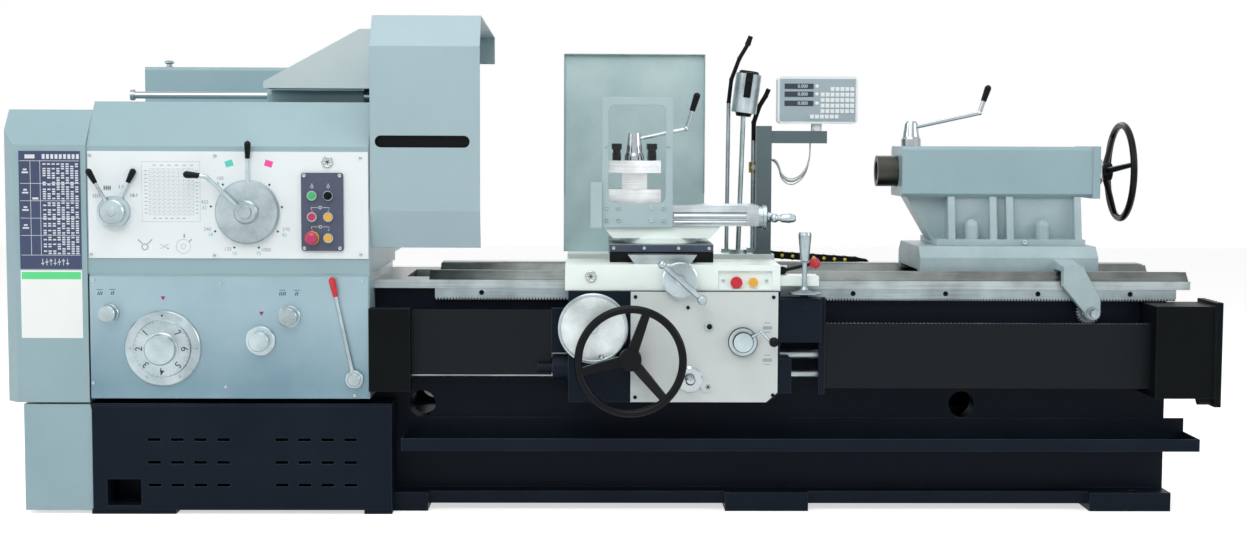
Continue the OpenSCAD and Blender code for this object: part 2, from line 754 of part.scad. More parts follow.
module feed_box_panel() {
    color([0.78, 0.8, 0.81]) difference() {
        bx(head_x0 + 5, head_x1 - 4, panel_y, front_y, feed_z0 + 2, way_z - 6);
        for (k = knob_at) cyl_y(k[0], panel_y - 1, front_y + 1, k[1], knob_r + pass_gap);
        cyl_y(feed_dial_at[0], panel_y - 1, front_y + 1, feed_dial_at[1], dial_shaft_r + pass_gap);
        cyl_y(start_at[0], panel_y - 1, front_y + 1, start_at[1], start_r + pass_gap);
    }
}

module feed_knob(at, flange_r, grip_r) {
    y0 = panel_y - slide_gap;
    color([0.78, 0.79, 0.8]) {
        turned_y(at[0], y0, at[1]) knob_outline(flange_r, 14, grip_r, 44);
        cyl_y(at[0], y0 - 1, front_y + shaft_in - 2, at[1], knob_r);
    }
}
module feed_knob_left() { feed_knob(knob_at[0], 29, 25); }
module feed_knob_mid() { feed_knob(knob_at[1], 45, 30); }
module feed_knob_right() { feed_knob(knob_at[2], 34, 28); }

module feed_dial() {
    y0 = panel_y - slide_gap;
    color([0.82, 0.83, 0.84]) {
        turned_y(feed_dial_at[0], y0, feed_dial_at[1]) polygon([[0, 0], [115, 0], [115, 6], [112, 9], [88, 9],
            [85, 18], [50, 20], [50, 24], [47, 26], [47, 46], [44, 50], [0, 50]]);
        cyl_y(feed_dial_at[0], y0 - 1, front_y + shaft_in - 2, feed_dial_at[1], dial_shaft_r);
    }
}

module start_lever() {
    y0 = panel_y - slide_gap;
    a = -12;
    d = [sin(a), -0.02, cos(a)];
    p = [start_at[0], y0 - 12, start_at[1]];
    color([0.75, 0.76, 0.77]) {
        turned_y(start_at[0], y0, start_at[1]) knob_outline(28, 18, 20, 26);
        cyl_y(start_at[0], y0 - 1, front_y + shaft_in - 2, start_at[1], start_r);
        bar(p + 16 * d, p + 262 * d, 7, 5.5);
        grip(p + 258 * d, p + 308 * d, 7.5, 11);
    }
}

module electrical_cabinet() {
    x0 = head_x0 + 5;
    x1 = head_x1 - 5;
    y1 = head_back + 240;
    z0 = way_z + 25;
    z1 = head_top + 130;
    color([0.6, 0.66, 0.69]) {
        along_x(x0, x1) round_rect(head_back, y1, z0, z1, 12);
        translate([x0 + 56, head_back + 120, z1 - 1]) rotate_extrude()
            polygon([[0, 0], [14, 0], [14, 6], [9, 8], [9, 14], [16, 18], [16, 24], [12, 27], [0, 27]]);
    }
}

module end_cover() {
    w = 255;
    t = 3;
    bevel = 37;
    x0 = head_x0 - w;
    z0 = leg_h + 4;
    z1 = head_top - 26;
    module outline(g) {
        polygon([[panel_y + g, z0 + g], [panel_y + g, z1 - 106 + g / 2], [panel_y + 92 + g / 2, z1 - g],
            [head_back - g, z1 - g], [head_back - g, z0 + g]]);
    }
    color([0.62, 0.69, 0.71]) difference() {
        along_x(x0, head_x0) outline(0);
        difference() {
            along_x(x0 + t, head_x0 + 1) outline(t);
            translate([x0, panel_y, z0 - 1]) linear_extrude(z1 - z0 + 2)
                polygon([[0, 0], [bevel + 2 * t, 0], [0, bevel + 2 * t]]);
        }
        translate([x0, panel_y, z0 - 1]) linear_extrude(z1 - z0 + 2)
            polygon([[-1, -1], [bevel + 1, -1], [-1, bevel + 1]]);
        cyl_x(x0 - 1, x0 + t + 1, 0, axis_h, spindle_tail_r + 4);
    }
}

module spindle() {
    x1 = head_x1 + 20 + slide_gap;
    face = x1 + nose_w;
    color([0.6, 0.61, 0.62]) difference() {
        union() {
            cyl_x(head_x0 - 260, head_x0 + 1, 0, axis_h, spindle_tail_r);
            cyl_x(head_x0, x1 + 1, 0, axis_h, spindle_r);
            cyl_x(x1, face, 0, axis_h, nose_r);
            translate([face - 1, 0, axis_h]) rotate([0, 90, 0])
                cylinder(h = 19, r1 = nose_pcd / 2 - 19, r2 = nose_pcd / 2 - 22);
        }
        cyl_x(head_x0 - 261, face + 20, 0, axis_h, spindle_bore_r);
        for (i = [0:5]) cyl_x(face - 30, face + 1, nose_pcd / 2 * sin(60 * i + 30),
            axis_h + nose_pcd / 2 * cos(60 * i + 30), nose_hole_r);
    }
}

module chuck_guard() {
    z_top = axis_h + guard_rise;
    f = -head_front;
    t = guard_t;
    outer = [[f + 30, axis_h - 233], [f, axis_h - 121], [f, z_top - 96], [f + 70, z_top],
        [guard_back, z_top - 22], [guard_back, z_top - 115]];
    inner = [[guard_back - t, z_top - 115], [guard_back - t, z_top - 22 - t], [f + 70 + t / 2, z_top - t],
        [f + t, z_top - 96 - t / 2], [f + t, axis_h - 121 + t / 4], [f + 30 + t, axis_h - 233]];
    cup_z = axis_h + 89;
    cup_h = 18;
    color([0.64, 0.71, 0.73]) difference() {
        union() {
            along_x(guard_x0, guard_x1) polygon(concat(outer, inner));
            along_x(guard_x0, guard_x0 + t) polygon([[f + t / 2, arm_z + 22], [f + t / 2, z_top - 96],
                [f + 70, z_top - t / 2], [guard_back - t / 2, z_top - 22 - t / 2], [guard_back - t / 2, arm_z + 22]]);
            along_y(f + 1, f + 24) round_rect(guard_x0 + 10, guard_x1 - 26, cup_z - cup_h - 5, cup_z + cup_h + 5, 22);
        }
        along_y(f - 1, f + 20) round_rect(guard_x0 + 15, guard_x1 - 31, cup_z - cup_h, cup_z + cup_h, 17.9);
    }
    guard_arm();
}

// Arm that carries the guard, with its hub and pivot rod
module guard_arm() {
    x0 = block_x0 + 12;
    z1 = axis_h + guard_rise - 27;
    t = 4;
    y0 = pivot_y - 150;
    y1 = pivot_y + 15;
    color([0.85, 0.86, 0.86]) {
        difference() {
            along_y(y0, y1) polygon([[x0, arm_z], [guard_x0, arm_z], [guard_x0, z1], [guard_x0 - 68, z1],
                [x0, arm_z + 21]]);
            along_y(y0 + t, y1 - t) polygon([[x0 + t, arm_z - 1], [guard_x0 - t, arm_z - 1], [guard_x0 - t, z1 - t],
                [guard_x0 - 68 + t / 2, z1 - t], [x0 + t, arm_z + 20 - t]]);
        }
        cyl_x(block_x1 + slide_gap, guard_x0, pivot_y, pivot_z, 26);
        bx(guard_x0 - t, guard_x0, pivot_y - 20, pivot_y + 15, pivot_z, arm_z + 10);
        cyl_x(rod_x0, block_x1 + 1, pivot_y, pivot_z, pivot_r);
        cyl_x(rod_x0 - 6, rod_x0 + 6, pivot_y, pivot_z, pivot_r + 6);
    }
}

module rod_bracket_right() {
    z1 = lead_z + 80;
    z0 = control_z - 87;
    y0 = -rods_y - 100;
    blind_z = lead_z + 22;
    color([0.09, 0.11, 0.15]) difference() {
        union() {
            bx(bracket_x0, bracket_x1 - 20, y0, -wall_y, z0 + 25, z1);
            bx(bracket_x1 - 20, bracket_x1, y0 - 8, -wall_y, z0, z1 + 12);
            cyl_x(bracket_x1 - 60, bracket_x1 - 20, y0 + 30, z0 + 25, 22);
        }
        for (r = [[lead_z, lead_r], [feed_rod_z, feed_rod_r], [control_z, control_r]])
            cyl_x(bracket_x0 - 1, bracket_x0 + 80, -rods_y, r[0], r[1] + run_gap);
        bx(bracket_x0 - 1, bracket_x0 + 60, -blind_y - 4, -blind_y + 4, blind_z - blind_h - 2, blind_z + 2);
    }
}

module lead_screw() {
    color([0.7, 0.71, 0.72]) cyl_x(head_x1 - rod_end + 2, bracket_x0 + 78, -rods_y, lead_z, lead_r);
}
module feed_rod() {
    color([0.74, 0.75, 0.76]) cyl_x(head_x1 - rod_end + 2, bracket_x0 + 78, -rods_y, feed_rod_z, feed_rod_r);
}
module control_rod() {
    color([0.74, 0.75, 0.76]) cyl_x(head_x1 - rod_end + 2, bracket_x0 + 78, -rods_y, control_z, control_r);
}

// Both curtains, from their roller housings to the apron
module rod_curtains() {
    left_z = lead_z + 60;
    right_z = lead_z + 20;
    color([0.11, 0.13, 0.15]) {
        bx(blind_x0 - 40, apron_x0 - 52, -blind_y - blind_t / 2, -blind_y + blind_t / 2, left_z - blind_h + 4, left_z);
        bx(boss_x1 + 18, bracket_x0 + 40, -blind_y - blind_t / 2, -blind_y + blind_t / 2, right_z - blind_h + 4, right_z);
    }
}

module saddle() {
    g = slide_gap;
    low = way_z + 10;
    bridge = cross_w / 2 + 5;
    front_in = -flat_in + 20;
    rear_in = 115;
    bay_x = saddle_x1 - 188;
    color([0.86, 0.87, 0.87]) difference() {
        union() {
            along_x(saddle_x0, saddle_x1) polygon([[-saddle_front, saddle_z0], [-saddle_front, saddle_z1],
                [front_in, saddle_z1], [front_in, low], [-v_y + 20, low], [-v_y + 20, v_peak - 20 + 1.5 * g],
                [-v_y, v_peak + 1.5 * g], [-v_y - v_w / 2, strip_z + 1.5 * g], [-rail_y - 3, strip_z + 1.5 * g],
                [-rail_y - 3, saddle_z0]]);
            along_x(saddle_x0, rear_wing_x1) polygon([[rear_in, low], [rear_in, saddle_z1], [saddle_back, saddle_z1],
                [saddle_back, rail_z + 3], [rail_y + 3, rail_z + 3], [rail_y + 3, way_z + g], [rear_flat - 3, way_z + g],
                [rear_flat - 3, low]]);
            bx(carriage_x - bridge, carriage_x + bridge, front_in - 1, rear_in + 1, low, saddle_z1);
            along_y(25 - saddle_front, 240) polygon([[carriage_x - dove_base, saddle_z1 - 1],
                [carriage_x - dove_base, saddle_z1], [carriage_x - dove_top, saddle_z1 + dove_z],
                [carriage_x + dove_top, saddle_z1 + dove_z], [carriage_x + dove_base, saddle_z1],
                [carriage_x + dove_base, saddle_z1 - 1]]);
            bx(saddle_x1 - 1, saddle_x1 + 120, -saddle_front + 20, -rail_y - 6, saddle_z0 + 14, way_z);
            bx(lug_x - 14, lug_x + 14, lug_y, lug_y + 12, way_z - 1, lug_z + 14);
        }
        cyl_y(crank_at[0], -saddle_front - 1, 60 - saddle_front, crank_at[1], crank_shaft_r + run_gap);
        bx(bay_x, bay_x + 163, -saddle_front - 1, 10 - saddle_front, saddle_z0 + 6, saddle_z1 - 19);
        cyl_y(lug_x, lug_y - 1, lug_y + 13, lug_z, lug_pin_r + run_gap);
    }
    color([0.75, 0.1, 0.12]) cyl_y(bay_x + 55, -saddle_front, 10 - saddle_front, way_z - 19, 18);
    color([0.9, 0.65, 0.1]) cyl_y(bay_x + 106, -saddle_front, 10 - saddle_front, way_z - 18, 14);
}

module apron_housing() {
    f = -apron_front;
    b = -apron_back;
    stub_z = control_z + 26;
    color([0.1, 0.13, 0.18]) difference() {
        union() {
            along_y(f, b) polygon([[apron_x0, apron_z0], [apron_x0, saddle_z0], [saddle_x1, saddle_z0],
                [saddle_x1, apron_z0 + 28], [saddle_x1 - 36, apron_z0]]);
            bx(saddle_x1 - 1, boss_x1, f, -boss_back, boss_z0, boss_z1);
            bx(saddle_x1 - 1, saddle_x1 + 35, f, b, control_z - 47, feed_rod_z - 5 - feed_rod_r + 15);
            bx(boss_x1 - 1, boss_x1 + 18, -blind_y - 8, -blind_y + 8, lead_z - 198, boss_z1);
            cyl_x(apron_x0 - 48, apron_x0 + 1, f + 40, stub_z, 36);
            cyl_x(apron_x0 - 94, apron_x0 - 40, f + 40, stub_z, 14);
            bx(apron_x0 - 52, apron_x0 + 1, -blind_y - 4, -blind_y + 4, stub_z + 47, lead_z + 66);
        }
        for (r = [[lead_z, lead_r], [feed_rod_z, feed_rod_r], [control_z, control_r]])
            cyl_x(apron_x0 - 1, saddle_x1 + 36, -rods_y, r[0], r[1] + pass_gap);
        cyl_y(travel_at[0], f - 1, f + 60, travel_at[1], travel_shaft_r + run_gap);
        cyl_y(pinion_at[0], b - 70, b + 1, pinion_at[1], pinion_shaft_r + run_gap);
        cyl_y(wheel_at[0], f - 1, f + 66, wheel_at[1], wheel_shaft_r + run_gap);
        cyl_y(half_nut_at[0], f - 1, f + 50, half_nut_at[1], nut_shaft_r + run_gap);
        cyl_y(joy_x, f - 1, -boss_back + 1, boss_z1 - 22, joy_pin_r + run_gap);
        bx(joy_x - 22, joy_x + 22, joy_y - 9, joy_y + 9, boss_z1 - 45, boss_z1 + 1);
    }
}

module apron_plate() {
    z0 = apron_z0 + 2;
    z1 = saddle_z0 - 2;
    pump = [carriage_x + 83, way_z - 310];
    color([0.83, 0.84, 0.84]) difference() {
        union() {
            along_y(plate_y, -apron_front) polygon([[plate_x0, z0], [plate_x0, z1], [plate_x1, z1],
                [plate_x1, z0 + 30], [plate_x1 - 34, z0]]);
            turned_y(pump[0], plate_y + 1, pump[1]) polygon([[0, 0], [39, 0], [39, 7], [33, 10], [9, 10],
                [9, 20], [15, 26], [16, 34], [11, 41], [0, 43]]);
            cyl_y(carriage_x + 134, plate_y - 5, plate_y + 1, way_z - 331, 18);
            cyl_y(carriage_x + 140, plate_y - 4, plate_y + 1, way_z - 151, 14);
        }
        cyl_y(wheel_at[0], plate_y - 1, 1 - apron_front, wheel_at[1], wheel_shaft_r + pass_gap);
        cyl_y(half_nut_at[0], plate_y - 1, 1 - apron_front, half_nut_at[1], nut_shaft_r + pass_gap);
    }
}

module travel_dial() {
    f = -apron_front - slide_gap;
    color([0.7, 0.71, 0.72]) {
        turned_y(travel_at[0], f, travel_at[1]) polygon([[0, 0], [travel_r, 0], [travel_r, 10], [travel_r - 8, 18],
            [0, 18]]);
        cyl_y(travel_at[0], f - 1, -apron_front + 56, travel_at[1], travel_shaft_r);
    }
}

module rack_pinion() {
    color([0.62, 0.63, 0.64]) {
        cyl_y(pinion_at[0], -apron_back - 68, -wall_y - 4, pinion_at[1], pinion_shaft_r);
        pinion(pinion_at, carriage_teeth, -rack_y + 1, -wall_y - 3);
    }
}

module apron_handwheel() {
    hub_y = plate_y - slide_gap;
    color([0.08, 0.1, 0.12]) {
        translate([wheel_at[0], hub_y, wheel_at[1]]) rotate([90, 0, 0])
            spoked_wheel(wheel_r, rim_r, 34, 62, 96, 72);
        cyl_y(wheel_at[0], hub_y - 1, -apron_front + 62, wheel_at[1], wheel_shaft_r);
    }
}

module half_nut_lever() {
    y0 = plate_y - slide_gap;
    p = [half_nut_at[0], y0 - 24, half_nut_at[1]];
    color([0.76, 0.77, 0.78]) {
        turned_y(half_nut_at[0], y0, half_nut_at[1]) knob_outline(44, 14, 31, 32);
        cyl_y(half_nut_at[0], y0 - 1, -apron_front + 46, half_nut_at[1], nut_shaft_r);
        bent_rod([p + [22, 0, 15], p + [52, -12, 34], p + [78, -22, 8]], 4.5);
        translate(p + [90, -26, 4]) sphere(r = 15);
    }
}

// Cross lever for the feeds: dished cover, stalk and tapered grip
module feed_joystick() {
    z = boss_z1;
    color([0.72, 0.73, 0.74]) {
        translate([joy_x, joy_y, z + 14]) rotate_extrude() polygon([[0, 0], [50, 0], [50, 3], [30, 8],
            [14, 12], [8, 22], [7.5, 95], [13, 100], [20, 178], [18, 186], [0, 187]]);
        bx(joy_x - 12, joy_x + 12, joy_y - 7, joy_y + 7, z - 34, z + 16);
        cyl_y(joy_x, joy_y - 16, joy_y + 30, z - 22, joy_pin_r);
    }
}

module carriage_lever() {
    y0 = lug_y - slide_gap;
    color([0.75, 0.76, 0.77]) {
        cyl_y(lug_x, y0 - 14, y0, lug_z, 12);
        cyl_y(lug_x, y0 - 1, y0 + 14, lug_z, lug_pin_r);
        bar([lug_x, y0 - 7, lug_z], [lug_x + 84, y0 - 13, lug_z + 20], 6, 5);
        translate([lug_x + 97, y0 - 14, lug_z + 23]) sphere(r = 17);
    }
}

module splash_guard() {
    x0 = carriage_x - 311;
    x1 = carriage_x + 164;
    z1 = way_z + 700;
    t = 3;
    y = 250;
    fold = 16;
    color([0.58, 0.63, 0.63]) {
        bx(x0, x1, y, y + t, saddle_z1, z1);
        bx(x0, x0 + t, y - fold, y + 1, saddle_z1 + 200, z1);
        bx(x1 - t, x1, y - fold, y + 1, saddle_z1 + 200, z1);
        bx(x0, x1, y - fold, y + 1, z1 - t, z1);
        bx(x0 + 20, x1 - 90, y + t - 1, y + 40, saddle_z1, saddle_z1 + t);
        for (x = [x0 + 60, x1 - 120]) along_x(x, x + t)
            polygon([[y + t - 1, saddle_z1], [y + 38, saddle_z1], [y + t - 1, saddle_z1 + 260]]);
    }
}

module cross_slide() {
    x0 = carriage_x - cross_w / 2;
    x1 = carriage_x + cross_w / 2;
    g = slide_gap;
    y1 = cross_y0 + cross_l;
    color([0.6, 0.61, 0.62]) difference() {
        union() {
            bx(x0, x1, cross_y0, y1, cross_z0, cross_z1);
            for (x = [x0 + 2, carriage_x + dove_top - 40]) bx(x, x + 93, cross_y0 - 8, cross_y0 + 1, cross_z0 + 8, cross_z1 - 6);
        }
        along_y(cross_y0 - 9, y1 + 1) polygon([[carriage_x - dove_base - 2 * g, cross_z0 - 2],
            [carriage_x - dove_base - 2 * g, saddle_z1], [carriage_x - dove_top - 2 * g, saddle_z1 + dove_z + g],
            [carriage_x + dove_top + 2 * g, saddle_z1 + dove_z + g], [carriage_x + dove_base + 2 * g, saddle_z1],
            [carriage_x + dove_base + 2 * g, cross_z0 - 2]]);
        for (x = [-130, 130]) along_y(y1 - 170, y1 + 1) translate([carriage_x + x, cross_z1]) {
            translate([-9, -13]) square([18, 14]);
            translate([-16, -26]) square([32, 13.5]);
        }
    }
}

// Ball crank: drum dial, cross bar with a ball end and a turned grip
module ball_crank(drum_r, drum_h, disc_r, disc_h, arm, grip_l) {
    rotate_extrude() polygon([[0, 0], [drum_r, 0], [drum_r, drum_h], [disc_r, drum_h + 1],
        [disc_r, drum_h + disc_h - 3], [disc_r - 4, drum_h + disc_h], [16, drum_h + disc_h],
        [14, drum_h + disc_h + 18], [0, drum_h + disc_h + 19]]);
    z = drum_h + disc_h + 10;
    bar([-arm * 0.85, 0, z], [arm, 0, z + 8], 8, 9);
    translate([-arm * 0.85, 0, z]) sphere(r = 13);
    translate([arm, 0, z + 8]) sphere(r = 14);
    translate([arm, 0, z + 8]) rotate_extrude() polygon([[0, 0], [9, 0], [9, 16], [13, 22], [15, 45],
        [12, grip_l - 4], [8, grip_l], [0, grip_l]]);
}

module cross_crank() {
    y0 = plate_y - slide_gap;
    color([0.76, 0.77, 0.78]) {
        translate([crank_at[0], y0, crank_at[1]]) rotate([90, 0, 0]) rotate(-41)
            ball_crank(50, 16, 54, 14, 84, 62);
        cyl_y(crank_at[0], y0 - 1, -saddle_front - slide_gap, crank_at[1], 34);
        cyl_y(crank_at[0], y0 - 1, -saddle_front + 56, crank_at[1], crank_shaft_r);
    }
}

module compound_base() {
    z0 = cross_z1;
    z1 = z0 + swivel_t;
    z2 = comp_z0 - slide_gap;
    top_h = 22;
    color([0.88, 0.88, 0.87]) {
        cyl_z(carriage_x, -comp_y, z0, z1 + 1, swivel_r);
        along_y(10 + comp_front, -comp_y + comp_w / 2 - 10) polygon([[carriage_x - 150, z1], [carriage_x + 150, z1],
            [carriage_x + 187, z2], [carriage_x - 184, z2]]);
        along_x(carriage_x - 184, carriage_x + 187) polygon([[-comp_y - 52, z2 - 1], [-comp_y - 52, z2],
            [-comp_y - 68, z2 + top_h], [-comp_y + 68, z2 + top_h], [-comp_y + 52, z2], [-comp_y + 52, z2 - 1]]);
    }
}

module compound_slide() {
    g = slide_gap;
    z2 = comp_z0 - g;
    top_h = 22 + g;
    color([0.68, 0.69, 0.7]) difference() {
        union() {
            along_x(comp_x0, comp_x1) polygon([[comp_front, comp_z0], [comp_front, comp_z1], [comp_front + 190, comp_z1],
                [comp_front + comp_w, comp_z1 - 20], [comp_front + comp_w, comp_z0]]);
            cyl_z(post_x, post_y, comp_z1 - 1, comp_z1 + post_h + 40, stud_r);
        }
        along_x(comp_x0 - 1, comp_x1 - 50) polygon([[-comp_y - 52 - 2 * g, z2 - 1], [-comp_y - 52 - 2 * g, z2],
            [-comp_y - 68 - 2 * g, z2 + top_h], [-comp_y + 68 + 2 * g, z2 + top_h], [-comp_y + 52 + 2 * g, z2],
            [-comp_y + 52 + 2 * g, z2 - 1]]);
        cyl_x(comp_x1 - 40, comp_x1 + 1, -comp_y, comp_screw_z, comp_shaft_r + run_gap);
    }
}

module compound_crank() {
    x0 = comp_x1 + slide_gap;
    color([0.76, 0.77, 0.78]) {
        translate([x0, -comp_y, comp_screw_z]) rotate([0, 90, 0]) rotate(-90)
            ball_crank(34, 20, 38, 14, 72, 66);
        cyl_x(comp_x1 - 36, x0 + 1, -comp_y, comp_screw_z, comp_shaft_r);
    }
}

module tool_post() {
    h = post_w / 2;
    z0 = post_z;
    low = 48;
    screws = [[-50, -62], [50, -62], [-50, 62], [50, 62], [-62, -22], [-62, 22], [62, -22], [62, 22]];
    color([0.5, 0.51, 0.52]) translate([post_x, post_y, z0]) difference() {
        union() {
            translate([-h, -h, 0]) cube([post_w, post_w, post_h]);
            for (s = screws) translate([s[0] - 7, s[1] - 7, post_h - 1]) cube([14, 14, 25]);
        }
        for (a = [0:90:270]) rotate(a) translate([h - slot_d, -h - 1, low]) cube([slot_d + 1, post_w + 2, slot_h]);
        translate([0, 0, -1]) cylinder(h = post_h + 2, r = stud_r + run_gap);
    }
}

module tool_post_lever() {
    z0 = post_z + post_h + slide_gap;
    color([0.72, 0.73, 0.74]) translate([post_x, post_y, z0]) {
        difference() {
            rotate(90) rotate_extrude() polygon([[0, 0], [31, 0], [31, 14], [26, 24], [20, 86], [0, 86]]);
            translate([0, 0, -1]) cylinder(h = 46, r = stud_r + run_gap);
        }
        bar([8, 0, 66], [164, 0, 100], 6, 6);
        bar([164, 0, 100], [182, 0, 156], 6, 6);
        translate([164, 0, 100]) sphere(r = 9);
        grip([182, 0, 156], [197, 0, 204], 9, 11);
    }
}

module tool_shield() {
    t = 5;
    x0 = comp_x0;
    z0 = comp_z0 - 5;
    color([0.74, 0.77, 0.78]) {
        along_y(comp_front - t, comp_front) difference() {
            translate([x0, z0]) square([shield_w, shield_h]);
            round_rect(x0 + 19, x0 + shield_w - 22, z0 + 75, z0 + shield_h - 25, 22);
        }
        bx(x0 - 36, x0, comp_front - t - 12, comp_front + 6, z0 - 2, z0 + 140);
    }
}

module readout_stand() {
    y1 = stand_y + stand_w;
    color([0.62, 0.65, 0.67]) difference() {
        union() {
            bx(stand_x, stand_x + stand_w, stand_y, y1, saddle_z1, stand_top);
            bx(stand_x - 8, stand_x + stand_w + 2, stand_y - 10, y1 + 10, saddle_z1, saddle_z1 + 12);
            bx(stand_x + stand_w - 1, console_x + 34, stand_y + 5, y1 - 5, arm_top - 41, arm_top);
        }
        cyl_z(console_x, stand_y + stand_w / 2, arm_top - 30, arm_top + 1, pin_r + run_gap);
    }
}

module readout_console() {
    y = stand_y + stand_w / 2;
    y0 = y - console_d / 2;
    x0 = console_x - 132;
    color([0.86, 0.87, 0.87]) {
        along_y(y0, y0 + console_d) round_rect(x0, x0 + console_w, console_z, console_z + console_h, 14);
        cyl_z(console_x, y, arm_top - 28, console_z + 1, pin_r);
        cyl_z(console_x, y, arm_top + slide_gap, console_z + 1, 18);
    }
}

// Cable that hangs from the arm's underside and enters the side of the post
cable_route = [[-20, 88], [-20, 60], [-24, 30], [-36, -4], [-58, -28], [-86, -36], [-112, -20], [-124, 12],
    [-136, 30], [-150, 34]];
function cable_dir(i) =
    let (n = len(cable_route), d = cable_route[min(i + 1, n - 1)] - cable_route[max(i - 1, 0)]) d / norm(d);
function cable_axis(i) = i == 0 ? [0, -1] : i == len(cable_route) - 1 ? [-1, 0] : cable_dir(i);
module readout_cable() {
    n = len(cable_route);
    s = 8;
    y = stand_y + stand_w / 2;
    x0 = console_x;
    pts = [for (i = [0:n - 1], k = [0:s - 1]) let (d = cable_axis(i), c = cable_r * cos(360 * k / s),
        e = cable_r * sin(360 * k / s), p = cable_route[i])
        [x0 + p[0] - d[1] * c, y + e, axis_h + p[1] + d[0] * c]];
    color([0.7, 0.71, 0.72]) polyhedron(pts, concat(
        [[for (k = [0:s - 1]) k], [for (k = [s - 1:-1:0]) (n - 1) * s + k]],
        [for (i = [0:n - 2], k = [0:s - 1]) let (j = (k + 1) % s) [i * s + j, i * s + k, (i + 1) * s + k, (i + 1) * s + j]]
    ));
}

module work_lamp() {
    z0 = axis_h + 182;
    foot = [lamp_x, lamp_y, saddle_z1];
    top = [lamp_x + 14, lamp_y, z0];
    tip = [lamp_x + 32, lamp_y, z0 + 134];
    color([0.78, 0.79, 0.8]) {
        cyl_z(lamp_x, lamp_y, saddle_z1, saddle_z1 + 14, 30);
        bar(foot + [0, 0, 6], top, 8, 8);
        bar(top - [0, 0, 6], top + [2, 0, 12], 24, 30);
        bar(top + [1, 0, 6], tip, lamp_r, lamp_r);
        bar(tip - [0.5, 0, 4], tip + [1.5, 0, 10], lamp_r - 4, lamp_r - 12);
    }
}

// Coolant pipe with its valve and bent nozzle, and a second flexible hose beside the lamp
module coolant_pipe() {
    z0 = saddle_z1;
    zv = axis_h + 7;
    color([0.75, 0.76, 0.77]) {
        cyl_z(pipe_x, pipe_y, z0, zv + 90, 9);
        cyl_z(pipe_x, pipe_y, z0, z0 + 16, 22);
        cyl_z(pipe_x, pipe_y, zv - 18, zv + 18, 16);
        cyl_y(pipe_x, pipe_y - 34, pipe_y, zv, 9);
        bent_rod([[pipe_x, pipe_y, zv + 88], [pipe_x, pipe_y, zv + 150], [pipe_x + 18, pipe_y - 6, zv + 205],
            [pipe_x + 38, pipe_y - 10, zv + 238], [pipe_x + 48, pipe_y - 14, zv + 262]], 8);
        cyl_z(lamp_x - 34, pipe_y, z0, z0 + 12, 18);
        bent_rod([[lamp_x - 34, pipe_y, z0 + 2], [lamp_x - 30, pipe_y, axis_h + 225],
            [lamp_x - 22, pipe_y - 4, axis_h + 300], [lamp_x + 4, pipe_y - 10, axis_h + 370],
            [lamp_x + 32, pipe_y - 16, axis_h + 418]], 7);
        bar([lamp_x + 30, pipe_y - 16, axis_h + 414], [lamp_x + 41, pipe_y - 18, axis_h + 444], 10, 8);
    }
}

// Cable chain: upper run from the saddle, bend, and lower run on the bed's rear shelf
chain_pitch = 36;
chain_bend = 74;
function chain_point(i) =
    let (x0 = rear_wing_x1 + 12, z0 = saddle_z1 - 14, up = 8, n = 7,
        x1 = x0 + up * chain_pitch, z1 = way_z - 160 + 14 + 2 * chain_bend)
    i <= up ? [x0 + i * chain_pitch, z0 + (z1 - z0) * i / up] :
    i <= up + n ? let (a = 90 - 180 * (i - up) / n) [x1 + chain_bend * cos(a), z1 - chain_bend + chain_bend * sin(a)] :
    [x1 - (i - up - n) * chain_pitch, z1 - 2 * chain_bend];
module cable_chain() {
    n = 22;
    y0 = saddle_back;
    color([0.07, 0.07, 0.08]) {
        for (i = [0:n - 1]) let (p = chain_point(i), q = chain_point(i + 1), d = q - p)
            along_y(y0, y0 + 34) translate(p) rotate(atan2(d[1], d[0])) translate([0, -12]) square([norm(d), 24]);
        for (i = [0:n]) let (p = chain_point(i)) cyl_y(p[0], y0, y0 + 34, p[1], 13.5);
        bx(rear_wing_x1 - 40, rear_wing_x1 + 14, y0, y0 + 34, saddle_z1 - 27, saddle_z1 - 1);
    }
}

module tailstock_base() {
    x0 = tail_x + 45;
    x1 = x0 + tail_base_l;
    g = slide_gap;
    y = flat_out - 1;
    yr = rear_flat - 6;
    arm_x = [drive_x - 92, drive_x + 30];
    color([0.66, 0.69, 0.7]) difference() {
        union() {
            along_x(x0, x1) polygon([[-y, way_z + g], [-y, way_z + 46], [-170, tail_base_z], [170, tail_base_z],
                [yr, way_z + 46], [yr, way_z + 5], [tail_v_y + 10, strip_z + tail_v_h - 10 + 1.5 * g],
                [tail_v_y, strip_z + tail_v_h + 1.5 * g], [tail_v_y - 10, strip_z + tail_v_h - 10 + 1.5 * g],
                [tail_v_y - 14, way_z + 5], [-flat_in + 4, way_z + 5], [-flat_in + 4, way_z + g]]);
            along_x(arm_x[0], arm_x[0] + 60) polygon([[-y + 1, v_peak + 6], [-y + 1, way_z + 40], [-rail_y - 6, v_peak + 22],
                [-rail_y - 6, v_peak + 6]]);
            along_y(-rail_y - 40, -rail_y - 6) polygon([[arm_x[0], v_peak + 22], [arm_x[0] + 60, v_peak + 22],
                [drive_x + 24, drive_z + 40], [drive_x + 24, drive_z], [drive_x - 24, drive_z], [arm_x[0], v_peak - 40]]);
            cyl_y(drive_x, -rail_y - 40, -rail_y - 6, drive_z, 24);
        }
        cyl_y(drive_x, -rail_y - 41, -rail_y - 5, drive_z, drive_r + run_gap);
    }
}

